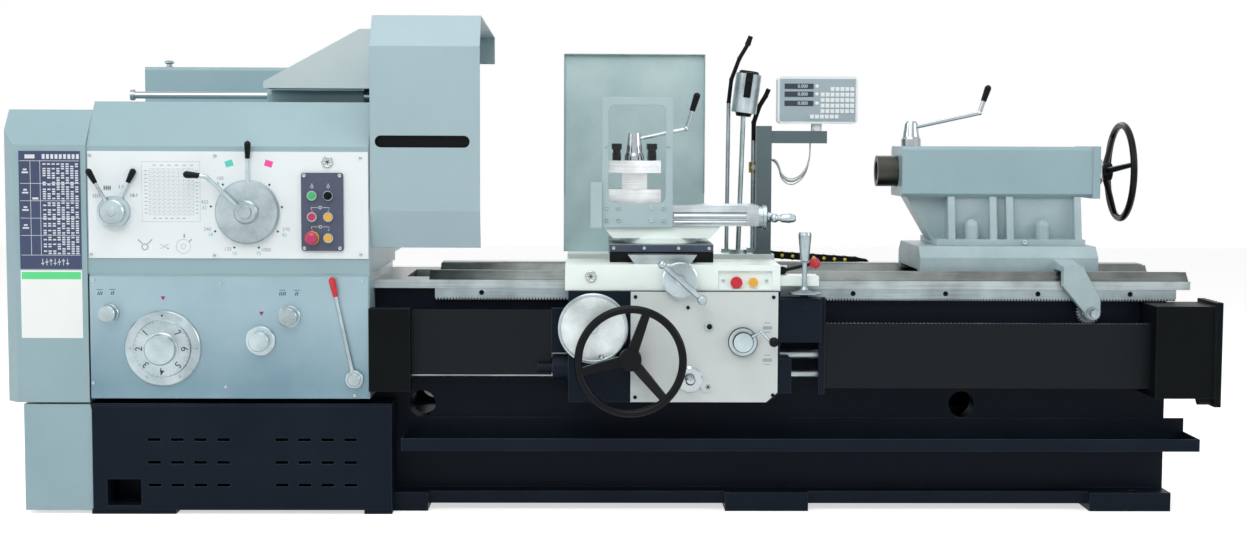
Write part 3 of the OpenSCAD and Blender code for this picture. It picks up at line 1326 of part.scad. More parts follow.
module tailstock_body() {
    b = barrel_w / 2;
    c = 10;
    bolt_x = [ped_x0 + 77, ped_x0 + 305];
    color([0.65, 0.69, 0.71]) difference() {
        union() {
            along_x(tail_x, tail_x1) polygon([[-b, barrel_z0 + c], [-b, barrel_z1 - c], [-b + c, barrel_z1],
                [b - c, barrel_z1], [b, barrel_z1 - c], [b, barrel_z0 + c], [b - c, barrel_z0], [-b + c, barrel_z0]]);
            along_x(tail_x1 - 1, tail_x1 + cap_t) polygon([[-b - 4, barrel_z0 - 4], [-b - 4, barrel_z1 + 2],
                [b + 4, barrel_z1 + 2], [b + 4, barrel_z0 - 4]]);
            bx(ped_x0, ped_x1, -b + 22, b - 22, tail_base_z, barrel_z0 + 1);
            for (x = [ped_x0, ped_x0 + 134, ped_x0 + 187, ped_x1 - 22]) along_x(x, x + 22)
                polygon([[-b - 30, tail_base_z], [b + 30, tail_base_z], [b, barrel_z0 + 1], [-b, barrel_z0 + 1]]);
            bx(ped_x0 - 40, ped_x1 + 8, -b - 36, b + 36, tail_base_z, tail_base_z + 20);
            along_y(-60, 60) polygon([[tail_x + 22, barrel_z0 + 1], [ped_x0 + 1, barrel_z0 + 1], [ped_x0 + 1, tail_base_z],
                [ped_x0 - 34, tail_base_z]]);
            for (x = bolt_x, s = [-1, 1]) {
                cyl_z(x, s * (b + 4), tail_base_z + 19, tail_base_z + 62, 22);
                translate([x, s * (b + 4), tail_base_z + 62]) sphere(r = 22);
            }
        }
        cyl_x(tail_x - 1, tail_x1 - 30, 0, axis_h, quill_r + run_gap);
        cyl_x(tail_x1 - 31, tail_x1 + cap_t + 1, 0, axis_h, tail_shaft_r + run_gap);
        cyl_z(lock_x, 0, barrel_z1 - 18, barrel_z1 + 1, lock_r + run_gap);
    }
}

module quill() {
    x1 = tail_x1 - 98;
    taper_l = 186;
    mouth_r = 31.7;
    color([0.3, 0.31, 0.31]) difference() {
        cyl_x(quill_x0, x1, 0, axis_h, quill_r);
        translate([quill_x0 - 1, 0, axis_h]) rotate([0, 90, 0])
            cylinder(h = taper_l, r1 = mouth_r, r2 = mouth_r - taper_l / 38.4);
        cyl_x(quill_x0 + taper_l - 2, x1 + 1, 0, axis_h, 22);
    }
}

module tailstock_handwheel() {
    x0 = tail_x1 + cap_t + slide_gap;
    color([0.08, 0.09, 0.1]) {
        turned_x(x0, 0, axis_h) polygon([[0, 0], [52, 0], [52, 22], [40, 30], [0, 30]]);
        translate([x0 + 24, 0, axis_h]) rotate([0, 90, 0]) spoked_wheel(tail_wheel_r, 11, 28, 40, 72, 20);
        cyl_x(tail_x1 - 26, x0 + 1, 0, axis_h, tail_shaft_r);
    }
}

module quill_lock_lever() {
    z0 = barrel_z1 + slide_gap;
    color([0.74, 0.75, 0.76]) translate([lock_x, 0, z0]) {
        rotate_extrude() polygon([[0, 0], [32, 0], [32, 22], [27, 30], [20, 74], [16, 80], [0, 82]]);
        translate([0, 0, -16]) cylinder(h = 17, r = lock_r);
        bent_rod([[12, 0, 62], [222, 0, 108], [236, 0, 152]], 7.5);
        grip([234, 0, 146], [248, 0, 188], 9, 11);
    }
}

module traverse_shaft() {
    y0 = -rail_y - 40 - slide_gap;
    color([0.66, 0.67, 0.68]) {
        pinion([drive_x, drive_z], tail_teeth, -rack_y + 1, -wall_y - 3);
        cyl_y(drive_x, y0 - 2, -wall_y - 4, drive_z, drive_r);
        cyl_y(drive_x, y0 - 8, y0, drive_z, 20);
        translate([drive_x, y0 - 7, drive_z]) rotate([90, 30, 0]) cylinder(h = 26, r = 14, $fn = 6);
    }
}

bed_casting();
head_leg();
leg_louvre_cover();
chip_tray();
gear_rack();
headstock_housing();
headstock_panel();
feed_box();
feed_box_panel();
electrical_cabinet();
button_panel();
rod_bracket_right();
end_cover();
spindle();
chuck_guard();
range_lever_rear();
range_lever_front();
speed_dial();
speed_lever();
mode_switch();
emergency_stop();
feed_dial();
feed_knob_left();
feed_knob_mid();
feed_knob_right();
start_lever();
lead_screw();
feed_rod();
control_rod();
saddle();
apron_housing();
apron_plate();
rod_curtains();
splash_guard();
readout_stand();
readout_console();
readout_cable();
work_lamp();
coolant_pipe();
cable_chain();
apron_handwheel();
travel_dial();
rack_pinion();
half_nut_lever();
feed_joystick();
carriage_lever();
cross_slide();
cross_crank();
compound_base();
compound_slide();
compound_crank();
tool_post();
tool_post_lever();
tool_shield();
tailstock_base();
tailstock_body();
quill();
tailstock_handwheel();
quill_lock_lever();
traverse_shaft();
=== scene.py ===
from math import cos, pi, radians, sin

import bmesh
import bpy
from mathutils import Matrix, Vector


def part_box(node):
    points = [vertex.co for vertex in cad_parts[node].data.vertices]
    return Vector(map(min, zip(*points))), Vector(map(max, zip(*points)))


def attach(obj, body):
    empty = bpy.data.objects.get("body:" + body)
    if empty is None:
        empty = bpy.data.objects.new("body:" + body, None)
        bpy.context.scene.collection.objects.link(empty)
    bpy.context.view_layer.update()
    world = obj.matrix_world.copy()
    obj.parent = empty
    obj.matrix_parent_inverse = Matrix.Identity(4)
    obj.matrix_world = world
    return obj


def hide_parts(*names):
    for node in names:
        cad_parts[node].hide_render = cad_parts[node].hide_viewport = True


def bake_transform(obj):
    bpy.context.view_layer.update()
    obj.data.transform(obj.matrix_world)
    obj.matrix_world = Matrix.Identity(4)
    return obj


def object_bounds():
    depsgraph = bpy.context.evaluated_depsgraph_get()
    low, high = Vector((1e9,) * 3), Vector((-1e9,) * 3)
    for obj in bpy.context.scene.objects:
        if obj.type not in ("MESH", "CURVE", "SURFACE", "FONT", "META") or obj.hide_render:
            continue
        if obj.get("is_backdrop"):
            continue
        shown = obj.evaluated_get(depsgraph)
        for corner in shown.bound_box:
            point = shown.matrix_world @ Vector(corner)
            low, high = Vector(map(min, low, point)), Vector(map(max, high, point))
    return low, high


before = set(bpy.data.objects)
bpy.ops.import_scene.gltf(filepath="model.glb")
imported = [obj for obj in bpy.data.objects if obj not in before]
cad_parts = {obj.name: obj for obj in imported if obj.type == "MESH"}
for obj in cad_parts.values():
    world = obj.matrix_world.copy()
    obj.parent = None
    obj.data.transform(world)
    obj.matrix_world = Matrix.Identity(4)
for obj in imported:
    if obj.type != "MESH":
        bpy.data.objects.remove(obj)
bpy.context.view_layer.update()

# Camera: a normal lens a little above the spindle, six metres in front of the bed,
# turned slightly right and down as in the photograph.
photo_w, focal_px, sensor_mm = 1247, 1835.0, 36
eye = Vector((-0.131, -5.962, 1.145))
yaw, pitch, roll = radians(0.95), radians(4.224), radians(0.238)
ahead = Vector((sin(yaw) * cos(pitch), cos(yaw) * cos(pitch), -sin(pitch)))
level = Vector((cos(yaw), -sin(yaw), 0))
across = level * cos(roll) + level.cross(ahead) * sin(roll)
upward = across.cross(ahead)
camera = bpy.data.objects.new("camera", bpy.data.cameras.new("camera"))
camera.data.sensor_width = sensor_mm
camera.data.lens = sensor_mm * focal_px / photo_w
camera.matrix_world = Matrix((
    (across.x, upward.x, -ahead.x, eye.x), (across.y, upward.y, -ahead.y, eye.y),
    (across.z, upward.z, -ahead.z, eye.z), (0, 0, 0, 1)))
bpy.context.scene.collection.objects.link(camera)
bpy.context.scene.camera = camera
bpy.context.scene.view_settings.view_transform = "Standard"


# Floor: a pale seamless studio floor that takes the machine's shadow, and a white backdrop
# behind it. What the camera and bright metal see of both is lifted to white.
def linear(hex_colour):
    """Linear RGBA of an sRGB hex colour."""
    parts = [int(hex_colour[i:i + 2], 16) / 255 for i in (1, 3, 5)]
    return [p / 12.92 if p <= 0.04045 else ((p + 0.055) / 1.055) ** 2.4 for p in parts] + [1]


def put(tree, kind, inputs=(), **settings):
    """Adds a node with its settings and the values or links of its inputs."""
    made = tree.nodes.new(kind)
    for name, value in settings.items():
        setattr(made, name, value)
    for socket, value in dict(inputs).items():
        if isinstance(value, bpy.types.NodeSocket):
            tree.links.new(value, made.inputs[socket])
        else:
            made.inputs[socket].default_value = value
    return made


def new_finish(name, colour, metallic, roughness):
    """A material with its Principled shader's plain values set."""
    finish = bpy.data.materials.new(name)
    finish.use_nodes = True
    shader = finish.node_tree.nodes["Principled BSDF"]
    shader.inputs["Base Color"].default_value = linear(colour)
    shader.inputs["Metallic"].default_value = metallic
    shader.inputs["Roughness"].default_value = roughness
    return finish, finish.node_tree, shader


def add_piece(name, bm, *finishes):
    """Links a finished bmesh as an object that sits at the origin."""
    mesh = bpy.data.meshes.new(name)
    bm.to_mesh(mesh)
    bm.free()
    for finish in finishes:
        mesh.materials.append(finish)
    made = bpy.data.objects.new(name, mesh)
    bpy.context.scene.collection.objects.link(made)
    return made


def seen_directly(tree):
    """1 where the camera, a mirror or glass looks at a surface, and 0 for its light."""
    path = put(tree, "ShaderNodeLightPath")
    mirror = put(tree, "ShaderNodeMath", {
        0: path.outputs["Is Glossy Ray"], 1: path.outputs["Is Transmission Ray"]}, operation="MAXIMUM")
    return put(tree, "ShaderNodeMath", {0: mirror.outputs[0], 1: path.outputs["Is Camera Ray"]},
               operation="MAXIMUM").outputs[0]


floor_reach, floor_drop, floor_lift = 14, 0.0005, 0.62
floor_bm = bmesh.new()
ground = bmesh.ops.create_grid(floor_bm, x_segments=1, y_segments=1, size=floor_reach)["verts"]
bmesh.ops.translate(floor_bm, verts=ground, vec=(0, 0, -floor_drop))
studio_floor, tree, shader = new_finish("studio_floor_white", "#E9E9E9", 0, 0.9)
lift = put(tree, "ShaderNodeMath", {0: seen_directly(tree), 1: floor_lift}, operation="MULTIPLY")
glow = put(tree, "ShaderNodeEmission", {"Color": linear("#FFFFFF"), "Strength": lift.outputs[0]})
both = put(tree, "ShaderNodeAddShader", {0: shader.outputs[0], 1: glow.outputs[0]})
tree.links.new(both.outputs[0], tree.nodes["Material Output"].inputs["Surface"])
floor = add_piece("studio_floor", floor_bm, studio_floor)
backdrop_bm = bmesh.new()
wall = bmesh.ops.create_grid(backdrop_bm, x_segments=1, y_segments=1, size=floor_reach)["verts"]
bmesh.ops.rotate(backdrop_bm, verts=wall, matrix=Matrix.Rotation(pi / 2, 3, "X"))
bmesh.ops.translate(backdrop_bm, verts=wall, vec=(0, floor_reach - 0.1, floor_reach - 0.1))
backdrop_white, tree, shader = new_finish("backdrop_white", "#E9E9E9", 0, 0.9)
glow = put(tree, "ShaderNodeEmission", {"Color": linear("#FFFFFF"), "Strength": 1.0})
shown = put(tree, "ShaderNodeMixShader", {
    "Fac": seen_directly(tree), 1: shader.outputs[0], 2: glow.outputs[0]})
tree.links.new(shown.outputs[0], tree.nodes["Material Output"].inputs["Surface"])
backdrop = add_piece("studio_backdrop", backdrop_bm, backdrop_white)
floor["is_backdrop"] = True
backdrop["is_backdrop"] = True

# Light: one wide soft box above and in front, weaker ones overhead, from each side and
# behind, and an even sky, so that dark enamel keeps its edges.
sky_light = 0.36
for light_name, place, aim, size, watts in (
        ("key_box", (-1.2, -4.5, 4.6), (0, 0, 0.7), 4.0, 140),
        ("left_box", (-5.0, -2.0, 2.6), (-0.8, 0, 0.9), 2.5, 50),
        ("right_box", (5.0, -2.5, 2.8), (0.8, 0, 0.9), 2.5, 75),
        ("top_box", (-0.2, -0.9, 5.0), (-0.1, -0.1, 0.9), 3.5, 60),
        ("rear_box", (0.5, 5.0, 4.0), (0, 0, 1.0), 3.0, 70)):
    lamp = bpy.data.objects.new(light_name, bpy.data.lights.new(light_name, "AREA"))
    lamp.data.energy, lamp.data.size = watts, size
    towards = (Vector(aim) - Vector(place)).to_track_quat("-Z", "Y")
    lamp.matrix_world = Matrix.Translation(place) @ towards.to_matrix().to_4x4()
    bpy.context.scene.collection.objects.link(lamp)
sky = bpy.data.worlds.new("studio_sky")
sky.use_nodes = True
ambient = sky.node_tree.nodes["Background"]
ambient.inputs["Color"].default_value = linear("#FFFFFF")
strength = put(sky.node_tree, "ShaderNodeMapRange", {
    "Value": seen_directly(sky.node_tree), "To Min": sky_light, "To Max": 1.0})
sky.node_tree.links.new(strength.outputs[0], ambient.inputs["Strength"])
bpy.context.scene.world = sky


# Bed: a ribbed iron casting in dark blue-black enamel that is rolled over rough cast
# skin. The ways and the rack strip are planed and ground bright after painting.
def enamel(name, colour, shade, roughness=0.36, grain_mm=2.2, grain_depth=0.12, blotch=0.5,
           specular=0.5, edge_scuff_and_highlight=None):
    """Rolled machine enamel: slow changes of tone, a fine orange-peel skin and an edge tone that is painted
    highlight and rubbed wear.
    """
    blotch_mm, scuff_and_highlight_m = 220, 0.004
    finish, tree, shader = new_finish(name, colour, 0, roughness)
    shader.inputs["Specular IOR Level"].default_value = specular
    where = put(tree, "ShaderNodeTexCoord")
    slow = put(tree, "ShaderNodeTexNoise", {
        "Vector": where.outputs["Object"], "Scale": 1000 / blotch_mm, "Detail": 4.0, "Roughness": 0.6})
    tone = put(tree, "ShaderNodeMapRange", {
        "Value": slow.outputs[0], "From Min": 0.35, "From Max": 0.7, "To Min": 0.0, "To Max": blotch})
    mixed = put(tree, "ShaderNodeMix", {
        "Factor": tone.outputs[0], 6: linear(colour), 7: linear(shade)}, data_type="RGBA")
    tree.links.new(mixed.outputs[2], shader.inputs["Base Color"])
    gloss = put(tree, "ShaderNodeMapRange", {
        "Value": slow.outputs[0], "To Min": roughness - 0.08, "To Max": roughness + 0.1})
    tree.links.new(gloss.outputs[0], shader.inputs["Roughness"])
    skin = put(tree, "ShaderNodeTexNoise", {
        "Vector": where.outputs["Object"], "Scale": 1000 / grain_mm, "Detail": 2.0})
    peel = put(tree, "ShaderNodeBump", {
        "Height": skin.outputs[0], "Strength": grain_depth, "Distance": 0.001})
    if edge_scuff_and_highlight:
        # Painted highlight and rubbed wear on the edges, drawn 4 mm wide, coarser than real, so that it
        # shows.
        edge = put(tree, "ShaderNodeBevel", {"Radius": scuff_and_highlight_m}, samples=4)
        flat = put(tree, "ShaderNodeNewGeometry")
        facing = put(tree, "ShaderNodeVectorMath", {0: edge.outputs[0], 1: flat.outputs["Normal"]},
                     operation="DOT_PRODUCT")
        scuff_and_highlight = put(tree, "ShaderNodeMapRange", {
            "Value": facing.outputs["Value"], "From Min": 0.98, "From Max": 0.75,
            "To Min": 0.0, "To Max": 0.9})
        patchy = put(tree, "ShaderNodeMath", {0: scuff_and_highlight.outputs[0], 1: slow.outputs[0]},
                     operation="MULTIPLY")
        scuffed_and_highlit = put(tree, "ShaderNodeMix", {
            "Factor": patchy.outputs[0], 6: mixed.outputs[2], 7: linear(edge_scuff_and_highlight)}, data_type="RGBA")
        tree.links.new(scuffed_and_highlit.outputs[2], shader.inputs["Base Color"])
        tree.links.new(edge.outputs[0], peel.inputs["Normal"])
    tree.links.new(peel.outputs[0], shader.inputs["Normal"])
    return finish


def ground_steel(name, colour, roughness, line_mm, along):
    """Machined steel: grinding lines, drawn coarse enough to show, run along one axis."""
    stain_mm, line_length, shadow = 111.1, 60, 0.55
    finish, tree, shader = new_finish(name, colour, 1, roughness)
    where = put(tree, "ShaderNodeTexCoord")
    stretch = [1000 / line_mm] * 3
    stretch["XYZ".index(along)] /= line_length
    drawn = put(tree, "ShaderNodeMapping", {"Vector": where.outputs["Object"], "Scale": stretch})
    lines = put(tree, "ShaderNodeTexNoise", {"Vector": drawn.outputs[0], "Scale": 1.0, "Detail": 3.0})
    stain = put(tree, "ShaderNodeTexNoise", {
        "Vector": where.outputs["Object"], "Scale": 1000 / stain_mm, "Detail": 3.0})
    mostly_stain = put(tree, "ShaderNodeMix", {"Factor": 0.3, 2: stain.outputs[0], 3: lines.outputs[0]})
    cloud = put(tree, "ShaderNodeMapRange", {
        "Value": mostly_stain.outputs[0], "From Min": 0.36, "From Max": 0.62})
    dark = [value * shadow for value in linear(colour)[:3]] + [1]
    tone = put(tree, "ShaderNodeMix", {"Factor": cloud.outputs[0], 6: dark, 7: linear(colour)},
               data_type="RGBA")
    tree.links.new(tone.outputs[2], shader.inputs["Base Color"])
    dull = put(tree, "ShaderNodeMath", {0: lines.outputs[0], 1: stain.outputs[0]}, operation="MULTIPLY")
    gloss = put(tree, "ShaderNodeMapRange", {
        "Value": dull.outputs[0], "From Max": 0.5, "To Min": roughness - 0.06, "To Max": roughness + 0.16})
    tree.links.new(gloss.outputs[0], shader.inputs["Roughness"])
    groove = put(tree, "ShaderNodeBump", {
        "Height": lines.outputs[0], "Strength": 0.12, "Distance": 0.0004})
    tree.links.new(groove.outputs[0], shader.inputs["Normal"])
    return finish


def dress(node_name, base, *rules):
    """Gives a solid its finish, and the first rule's finish to the faces that the rule picks."""
    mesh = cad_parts[node_name].data
    mesh.materials.clear()
    for finish in (base,) + tuple(rule[0] for rule in rules):
        mesh.materials.append(finish)
    for face in mesh.polygons:
        face.material_index = 0
        for index, rule in enumerate(rules):
            if rule[1](face.center, face.normal):
                face.material_index = index + 1
                break


bed_enamel = enamel("dark_bed_enamel", "#101823", "#17202C", roughness=0.42, grain_mm=5.0,
                    grain_depth=0.35, blotch=0.7, specular=0.08, edge_scuff_and_highlight="#5F6B76")
bracket_enamel = enamel("black_bracket_enamel", "#0A0E10", "#0F1416", roughness=0.4, grain_mm=4.0,
                        grain_depth=0.25, blotch=0.6, specular=0.06, edge_scuff_and_highlight="#4A5358")
way_steel = ground_steel("ground_way_steel", "#B0BCBF", roughness=0.3, line_mm=3.0, along="X")
# The top faces of the ways take this darker copy of the way steel: a painted dark reflection.
way_top_painted_reflection = ground_steel("way_steel_painted_dark_reflection", "#767B79", roughness=0.26, line_mm=3.0, along="X")
rack_steel = ground_steel("milled_rack_steel", "#A4B2B7", roughness=0.36, line_mm=3.0, along="X")
way_foot, ways_start = 0.686, -0.812
dress("bed_casting", bed_enamel,
      (way_top_painted_reflection, lambda c, n: c.z > way_foot and c.x > ways_start and n.z > 0.5),
      (way_steel, lambda c, n: c.z > way_foot and c.x > ways_start))
dress("gear_rack", rack_steel)
dress("chip_tray", bed_enamel)
dress("rod_bracket_right", bracket_enamel)

# Cabinet leg: the dark casting under the headstock with its louvred sheet cover, and the
# pale lower end cover that continues the gear cover to the floor.
pale_enamel = enamel("blue_grey_enamel", "#95B0B7", "#8AA5AD", edge_scuff_and_highlight="#C4D3D7")
end_cover_right = -1.6605
dress("head_leg", bed_enamel, (pale_enamel, lambda c, n: c.x < end_cover_right))
dress("leg_louvre_cover", bed_enamel)


# End cover: a folded sheet box over the change gears. On its front is a screen-printed
# dark chart plate with columns of settings, and a blank white plate below it.
def ink(name, colour, shade):
    """Matt screen print, nearly even, with a hardly visible skin."""
    return enamel(name, colour, shade, roughness=0.5, grain_mm=2.0, grain_depth=0.03, blotch=0.4)


def paint(verts, finish):
    """Gives the faces at some vertices one of their piece's finishes."""
    for face in {f for v in verts for f in v.link_faces}:
        face.material_index = finish


def patch(bm, x, y, z, wide, high, finish=0, turn=0.0):
    """Adds a flat printed field that faces the operator."""
    made = bmesh.ops.create_grid(bm, x_segments=1, y_segments=1, size=0.5)["verts"]
    paint(made, finish)
    upright = Matrix.Rotation(turn, 4, "Y") @ Matrix.Rotation(pi / 2, 4, "X")
    bmesh.ops.transform(bm, verts=made, matrix=Matrix.Translation((x, y, z)) @ upright
                        @ Matrix.Diagonal((wide, high, 1, 1)))


def soften(bm, edges, radius):
    """Rounds some edges in two steps."""
    bmesh.ops.bevel(bm, geom=list(edges), offset=radius, segments=2, profile=0.5, affect="EDGES",
                    material=-1)


def block(bm, low, high, edge, finish=0):
    """Adds a box between two corners with rounded edges."""
    made = bmesh.ops.create_cube(bm, size=1)["verts"]
    paint(made, finish)
    middle, size = (Vector(low) + Vector(high)) / 2, Vector(high) - Vector(low)
    bmesh.ops.transform(bm, verts=made, matrix=Matrix.Translation(middle)
                        @ Matrix.Diagonal((size.x, size.y, size.z, 1)))
    soften(bm, {e for v in made for e in v.link_edges}, edge)


dress("end_cover", pale_enamel)
chart_navy = enamel("printed_navy_sheet", "#343F5F", "#3B4768", roughness=0.4, grain_mm=3.0,
                    grain_depth=0.03)
placard_white = enamel("blank_plate_white", "#F0F4F2", "#E6ECE9", roughness=0.4, grain_mm=2.0,
                       grain_depth=0.03, blotch=0.4)
print_white = ink("screen_print_white", "#D9DFE4", "#CDD5DC")
print_green = ink("screen_print_green", "#5FD98A", "#55CF80")
plate_left, plate_right, plate_back, plate_front = -1.8615, -1.6765, -0.3999, -0.4012
chart_low, chart_top, blank_low, blank_top = 0.7505, 1.1065, 0.5405, 0.7465
sheet_edge, margin, rule = 0.0004, 0.0035, 0.0014
chart_bm = bmesh.new()
block(chart_bm, (plate_left, plate_front, chart_low), (plate_right, plate_back, chart_top), sheet_edge)
block(chart_bm, (plate_left, plate_front, blank_low), (plate_right, plate_back, blank_top), sheet_edge, 1)
chart_plate = add_piece("gear_chart_plate", chart_bm, chart_navy, placard_white)
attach(chart_plate, "frame")
ink_bm = bmesh.new()
ink_y = plate_front - 0.00015
chart_w, chart_h = plate_right - plate_left - 2 * margin, chart_top - chart_low - 2 * margin


def chart_mark(share_x, share_z, wide, high):
    """Prints a bar with its middle at a share of the chart's width and height."""
    patch(ink_bm, plate_left + margin + chart_w * share_x, ink_y, chart_low + margin + chart_h * share_z,
          wide, high)


for share_z in (0.11, 0.28, 0.43, 0.58, 0.73, 0.925):
    chart_mark(0.5, share_z, chart_w, rule)
for share_x in (0.175, 0.34):
    chart_mark(share_x, 0.5175, rule, chart_h * 0.815)
for line in range(40):
    for column in range(8):
        if (line * 7 + column * 3) % 11 not in (0, 5) and not (column < 3 and line % 9 in (2, 5)):
            chart_mark(0.41 + 0.078 * column, 0.125 + 0.0198 * line, chart_w * 0.052, 0.0042)
for share_z in (0.345, 0.5, 0.65, 0.825):
    chart_mark(0.085, share_z, 0.019, 0.005)
    chart_mark(0.085, share_z + 0.025, 0.011, 0.005)
chart_mark(0.255, 0.6, 0.018, 0.006)
chart_mark(0.17, 0.962, 0.03, 0.012)
for stroke in range(9):
    chart_mark(0.4 + 0.072 * stroke, 0.962, 0.0085, 0.014)
for stroke in range(7):
    chart_mark(0.36 + 0.07 * stroke, 0.05 + 0.012 * (stroke % 3 - 1), 0.009, 0.0035)
    chart_mark(0.36 + 0.07 * stroke, 0.05, 0.002, 0.02)
patch(ink_bm, (plate_left + plate_right) / 2, ink_y, blank_top - 0.016, chart_w, 0.022, 1)
chart_ink = add_piece("gear_chart_print", ink_bm, print_white, print_green)
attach(chart_ink, "frame")


# Headstock: a cast box in blue-grey enamel. The bearing cover round the spindle is bare
# steel, and a white lacquered control panel is screwed to the front.
def turned(bm, x, y, z, profile, finish=0, steps=36):
    """Spins a profile of radius and depth pairs into a round piece that faces the operator."""
    line = [bm.verts.new((x + r, y + d, z)) for r, d in profile]
    edges = [bm.edges.new(pair) for pair in zip(line, line[1:])]
    before = set(bm.faces)
    bmesh.ops.spin(bm, geom=line + edges, cent=(x, y, z), axis=(0, 1, 0), dvec=(0, 0, 0),
                   angle=2 * pi, steps=steps, use_merge=True)
    faces = [f for f in bm.faces if f not in before]
    bmesh.ops.remove_doubles(bm, verts=list({v for f in faces for v in f.verts}), dist=0.00001)
    faces = [f for f in bm.faces if f not in before]
    for face in faces:
        face.material_index = finish
        face.smooth = True
    bmesh.ops.recalc_face_normals(bm, faces=faces)


def socket_screw(bm, x, y, z, radius, finish=0):
    """Adds a round screw head with a hollow socket."""
    tall = radius * 0.7
    turned(bm, x, y, z, [(radius, 0.0005), (radius, -tall * 0.8), (radius * 0.85, -tall),
                         (radius * 0.5, -tall), (radius * 0.45, -tall * 0.3), (0, -tall * 0.3)], finish, 18)


def numeral(bm, text, place, high, finish=0):
    """Adds printed figures as a flat mesh, their middle at a matrix, with strokes a little fattened."""
    fatter, figure_share = 0.006, 0.7
    letters = bpy.data.curves.new("figures", "FONT")
    letters.body, letters.offset = text, fatter
    letters.align_x = letters.align_y = "CENTER"
    flat = bpy.data.meshes.new_from_object(bpy.data.objects.new("figures", letters))
    known = set(bm.verts)
    bm.from_mesh(flat)
    made = [v for v in bm.verts if v not in known]
    paint(made, finish)
    size = high / figure_share
    bmesh.ops.transform(bm, verts=made, matrix=place @ Matrix.Rotation(pi / 2, 4, "X")
                        @ Matrix.Diagonal((size, size, 1, 1)))


def ring(bm, x, y, z, radius, wide, finish=0):
    """Adds a flat printed ring that faces the operator."""
    made = bmesh.ops.create_circle(bm, cap_ends=True, segments=32, radius=radius)["verts"]
    disc = next(f for f in made[0].link_faces)
    rim = bmesh.ops.inset_region(bm, faces=[disc], thickness=wide, use_boundary=True)["faces"]
    bmesh.ops.delete(bm, geom=[disc], context="FACES_ONLY")
    for face in rim:
        face.material_index = finish
    bmesh.ops.transform(bm, verts=list({v for f in rim for v in f.verts}),
                        matrix=Matrix.Translation((x, y, z)) @ Matrix.Rotation(pi / 2, 4, "X"))


def glossy(name, colour, metallic, grain_mm, low, high, detail=2.0, specular=0.5, skin=0.0):
    """A smooth finish whose roughness wanders between two values, with a fine skin if asked."""
    finish, tree, shader = new_finish(name, colour, metallic, (low + high) / 2)
    shader.inputs["Specular IOR Level"].default_value = specular
    where = put(tree, "ShaderNodeTexCoord")
    grain = put(tree, "ShaderNodeTexNoise", {
        "Vector": where.outputs["Object"], "Scale": 1000 / grain_mm, "Detail": detail})
    gloss = put(tree, "ShaderNodeMapRange", {"Value": grain.outputs[0], "To Min": low, "To Max": high})
    tree.links.new(gloss.outputs[0], shader.inputs["Roughness"])
    if skin:
        bump = put(tree, "ShaderNodeBump", {
            "Height": grain.outputs[0], "Strength": skin, "Distance": 0.0005})
        tree.links.new(bump.outputs[0], shader.inputs["Normal"])
    return finish


turned_steel = ground_steel("turned_steel", "#A8B6BB", roughness=0.3, line_mm=2.5, along="Z")
panel_white = enamel("white_panel_lacquer", "#E9F0F2", "#E1E9EC", roughness=0.32, grain_mm=2.0,
                     grain_depth=0.04)
head_right, cabinet_top = -0.8095, 1.3885
dress("headstock_housing", pale_enamel, (turned_steel, lambda c, n: c.x > head_right))
dress("headstock_panel", panel_white)
dress("electrical_cabinet", pale_enamel, (turned_steel, lambda c, n: c.z > cabinet_top))
dress("spindle", turned_steel)
print_grey = ink("screen_print_grey", "#9FA9B0", "#A8B1B7")
print_pale = ink("screen_print_pale_grey", "#BCC4C9", "#C4CBD0")
print_black = ink("screen_print_black", "#2A3036", "#30363C")
print_cyan = ink("screen_print_cyan", "#5CCFC0", "#54C4B6")
print_pink = ink("screen_print_pink", "#EE4FA6", "#E44A9E")
in_grey, in_black, in_cyan, in_pink, in_pale = range(5)
speed_bm = bmesh.new()
panel_front = -0.4
print_y = panel_front - 0.00018
over_y = print_y - 0.00004
hair, figure_high = 0.0011, 0.0105
grid_left, grid_low, grid_right, grid_top, columns, rows = -1.471, 0.915, -1.337, 1.054, 9, 12
for left, low, right, top, cells_x, cells_z in (
        (-1.493, 0.895, -1.318, 1.076, 1, 1), (grid_left, grid_low, grid_right, grid_top, columns, rows)):
    for count in range(cells_x + 1):
        line_x = left + (right - left) * count / cells_x
        patch(speed_bm, line_x, print_y, (low + top) / 2, hair, top - low, in_pale)
    for count in range(cells_z + 1):
        line_z = low + (top - low) * count / cells_z
        patch(speed_bm, (left + right) / 2, print_y, line_z, right - left, hair, in_pale)
cell_x, cell_z, cell_w, cell_h = -1.4636, 0.9208, 0.0149, 0.01158
for row in range(rows):
    row_z = cell_z + cell_h * row
    for column in range(columns):
        patch(speed_bm, cell_x + cell_w * column, over_y, row_z, 0.0135, hair, in_pale, -0.55)
    patch(speed_bm, grid_left - 0.01, print_y, row_z, 0.009, 0.0022)
    patch(speed_bm, grid_right + 0.0095, print_y, row_z, 0.008, 0.0022)
for column in range(6):
    patch(speed_bm, -1.455 + 0.0225 * column, print_y, grid_top + 0.011, 0.009, 0.0026)
    patch(speed_bm, -1.455 + 0.0175 * column, print_y, grid_low - 0.01, 0.009, 0.0026)
ring(speed_bm, -1.486, print_y, 0.818, 0.0105, 0.0035)
patch(speed_bm, -1.5, print_y, 0.834, 0.02, 0.0035, in_grey, radians(45))
patch(speed_bm, -1.471, print_y, 0.834, 0.02, 0.0035, in_grey, radians(-45))
for side in (-1, 1):
    patch(speed_bm, -1.427, print_y, 0.82, 0.03, 0.0014, in_grey, side * 0.5)
patch(speed_bm, -1.417, over_y, 0.814, 0.003, 0.003, in_black)
ring(speed_bm, -1.37, print_y, 0.82, 0.022, 0.0012)
ring(speed_bm, -1.37, print_y, 0.82, 0.008, 0.0012)
patch(speed_bm, -1.367, print_y, 0.852, 0.005, 0.012)
patch(speed_bm, -1.349, print_y, 0.838, 0.012, 0.004, in_grey, radians(-45))
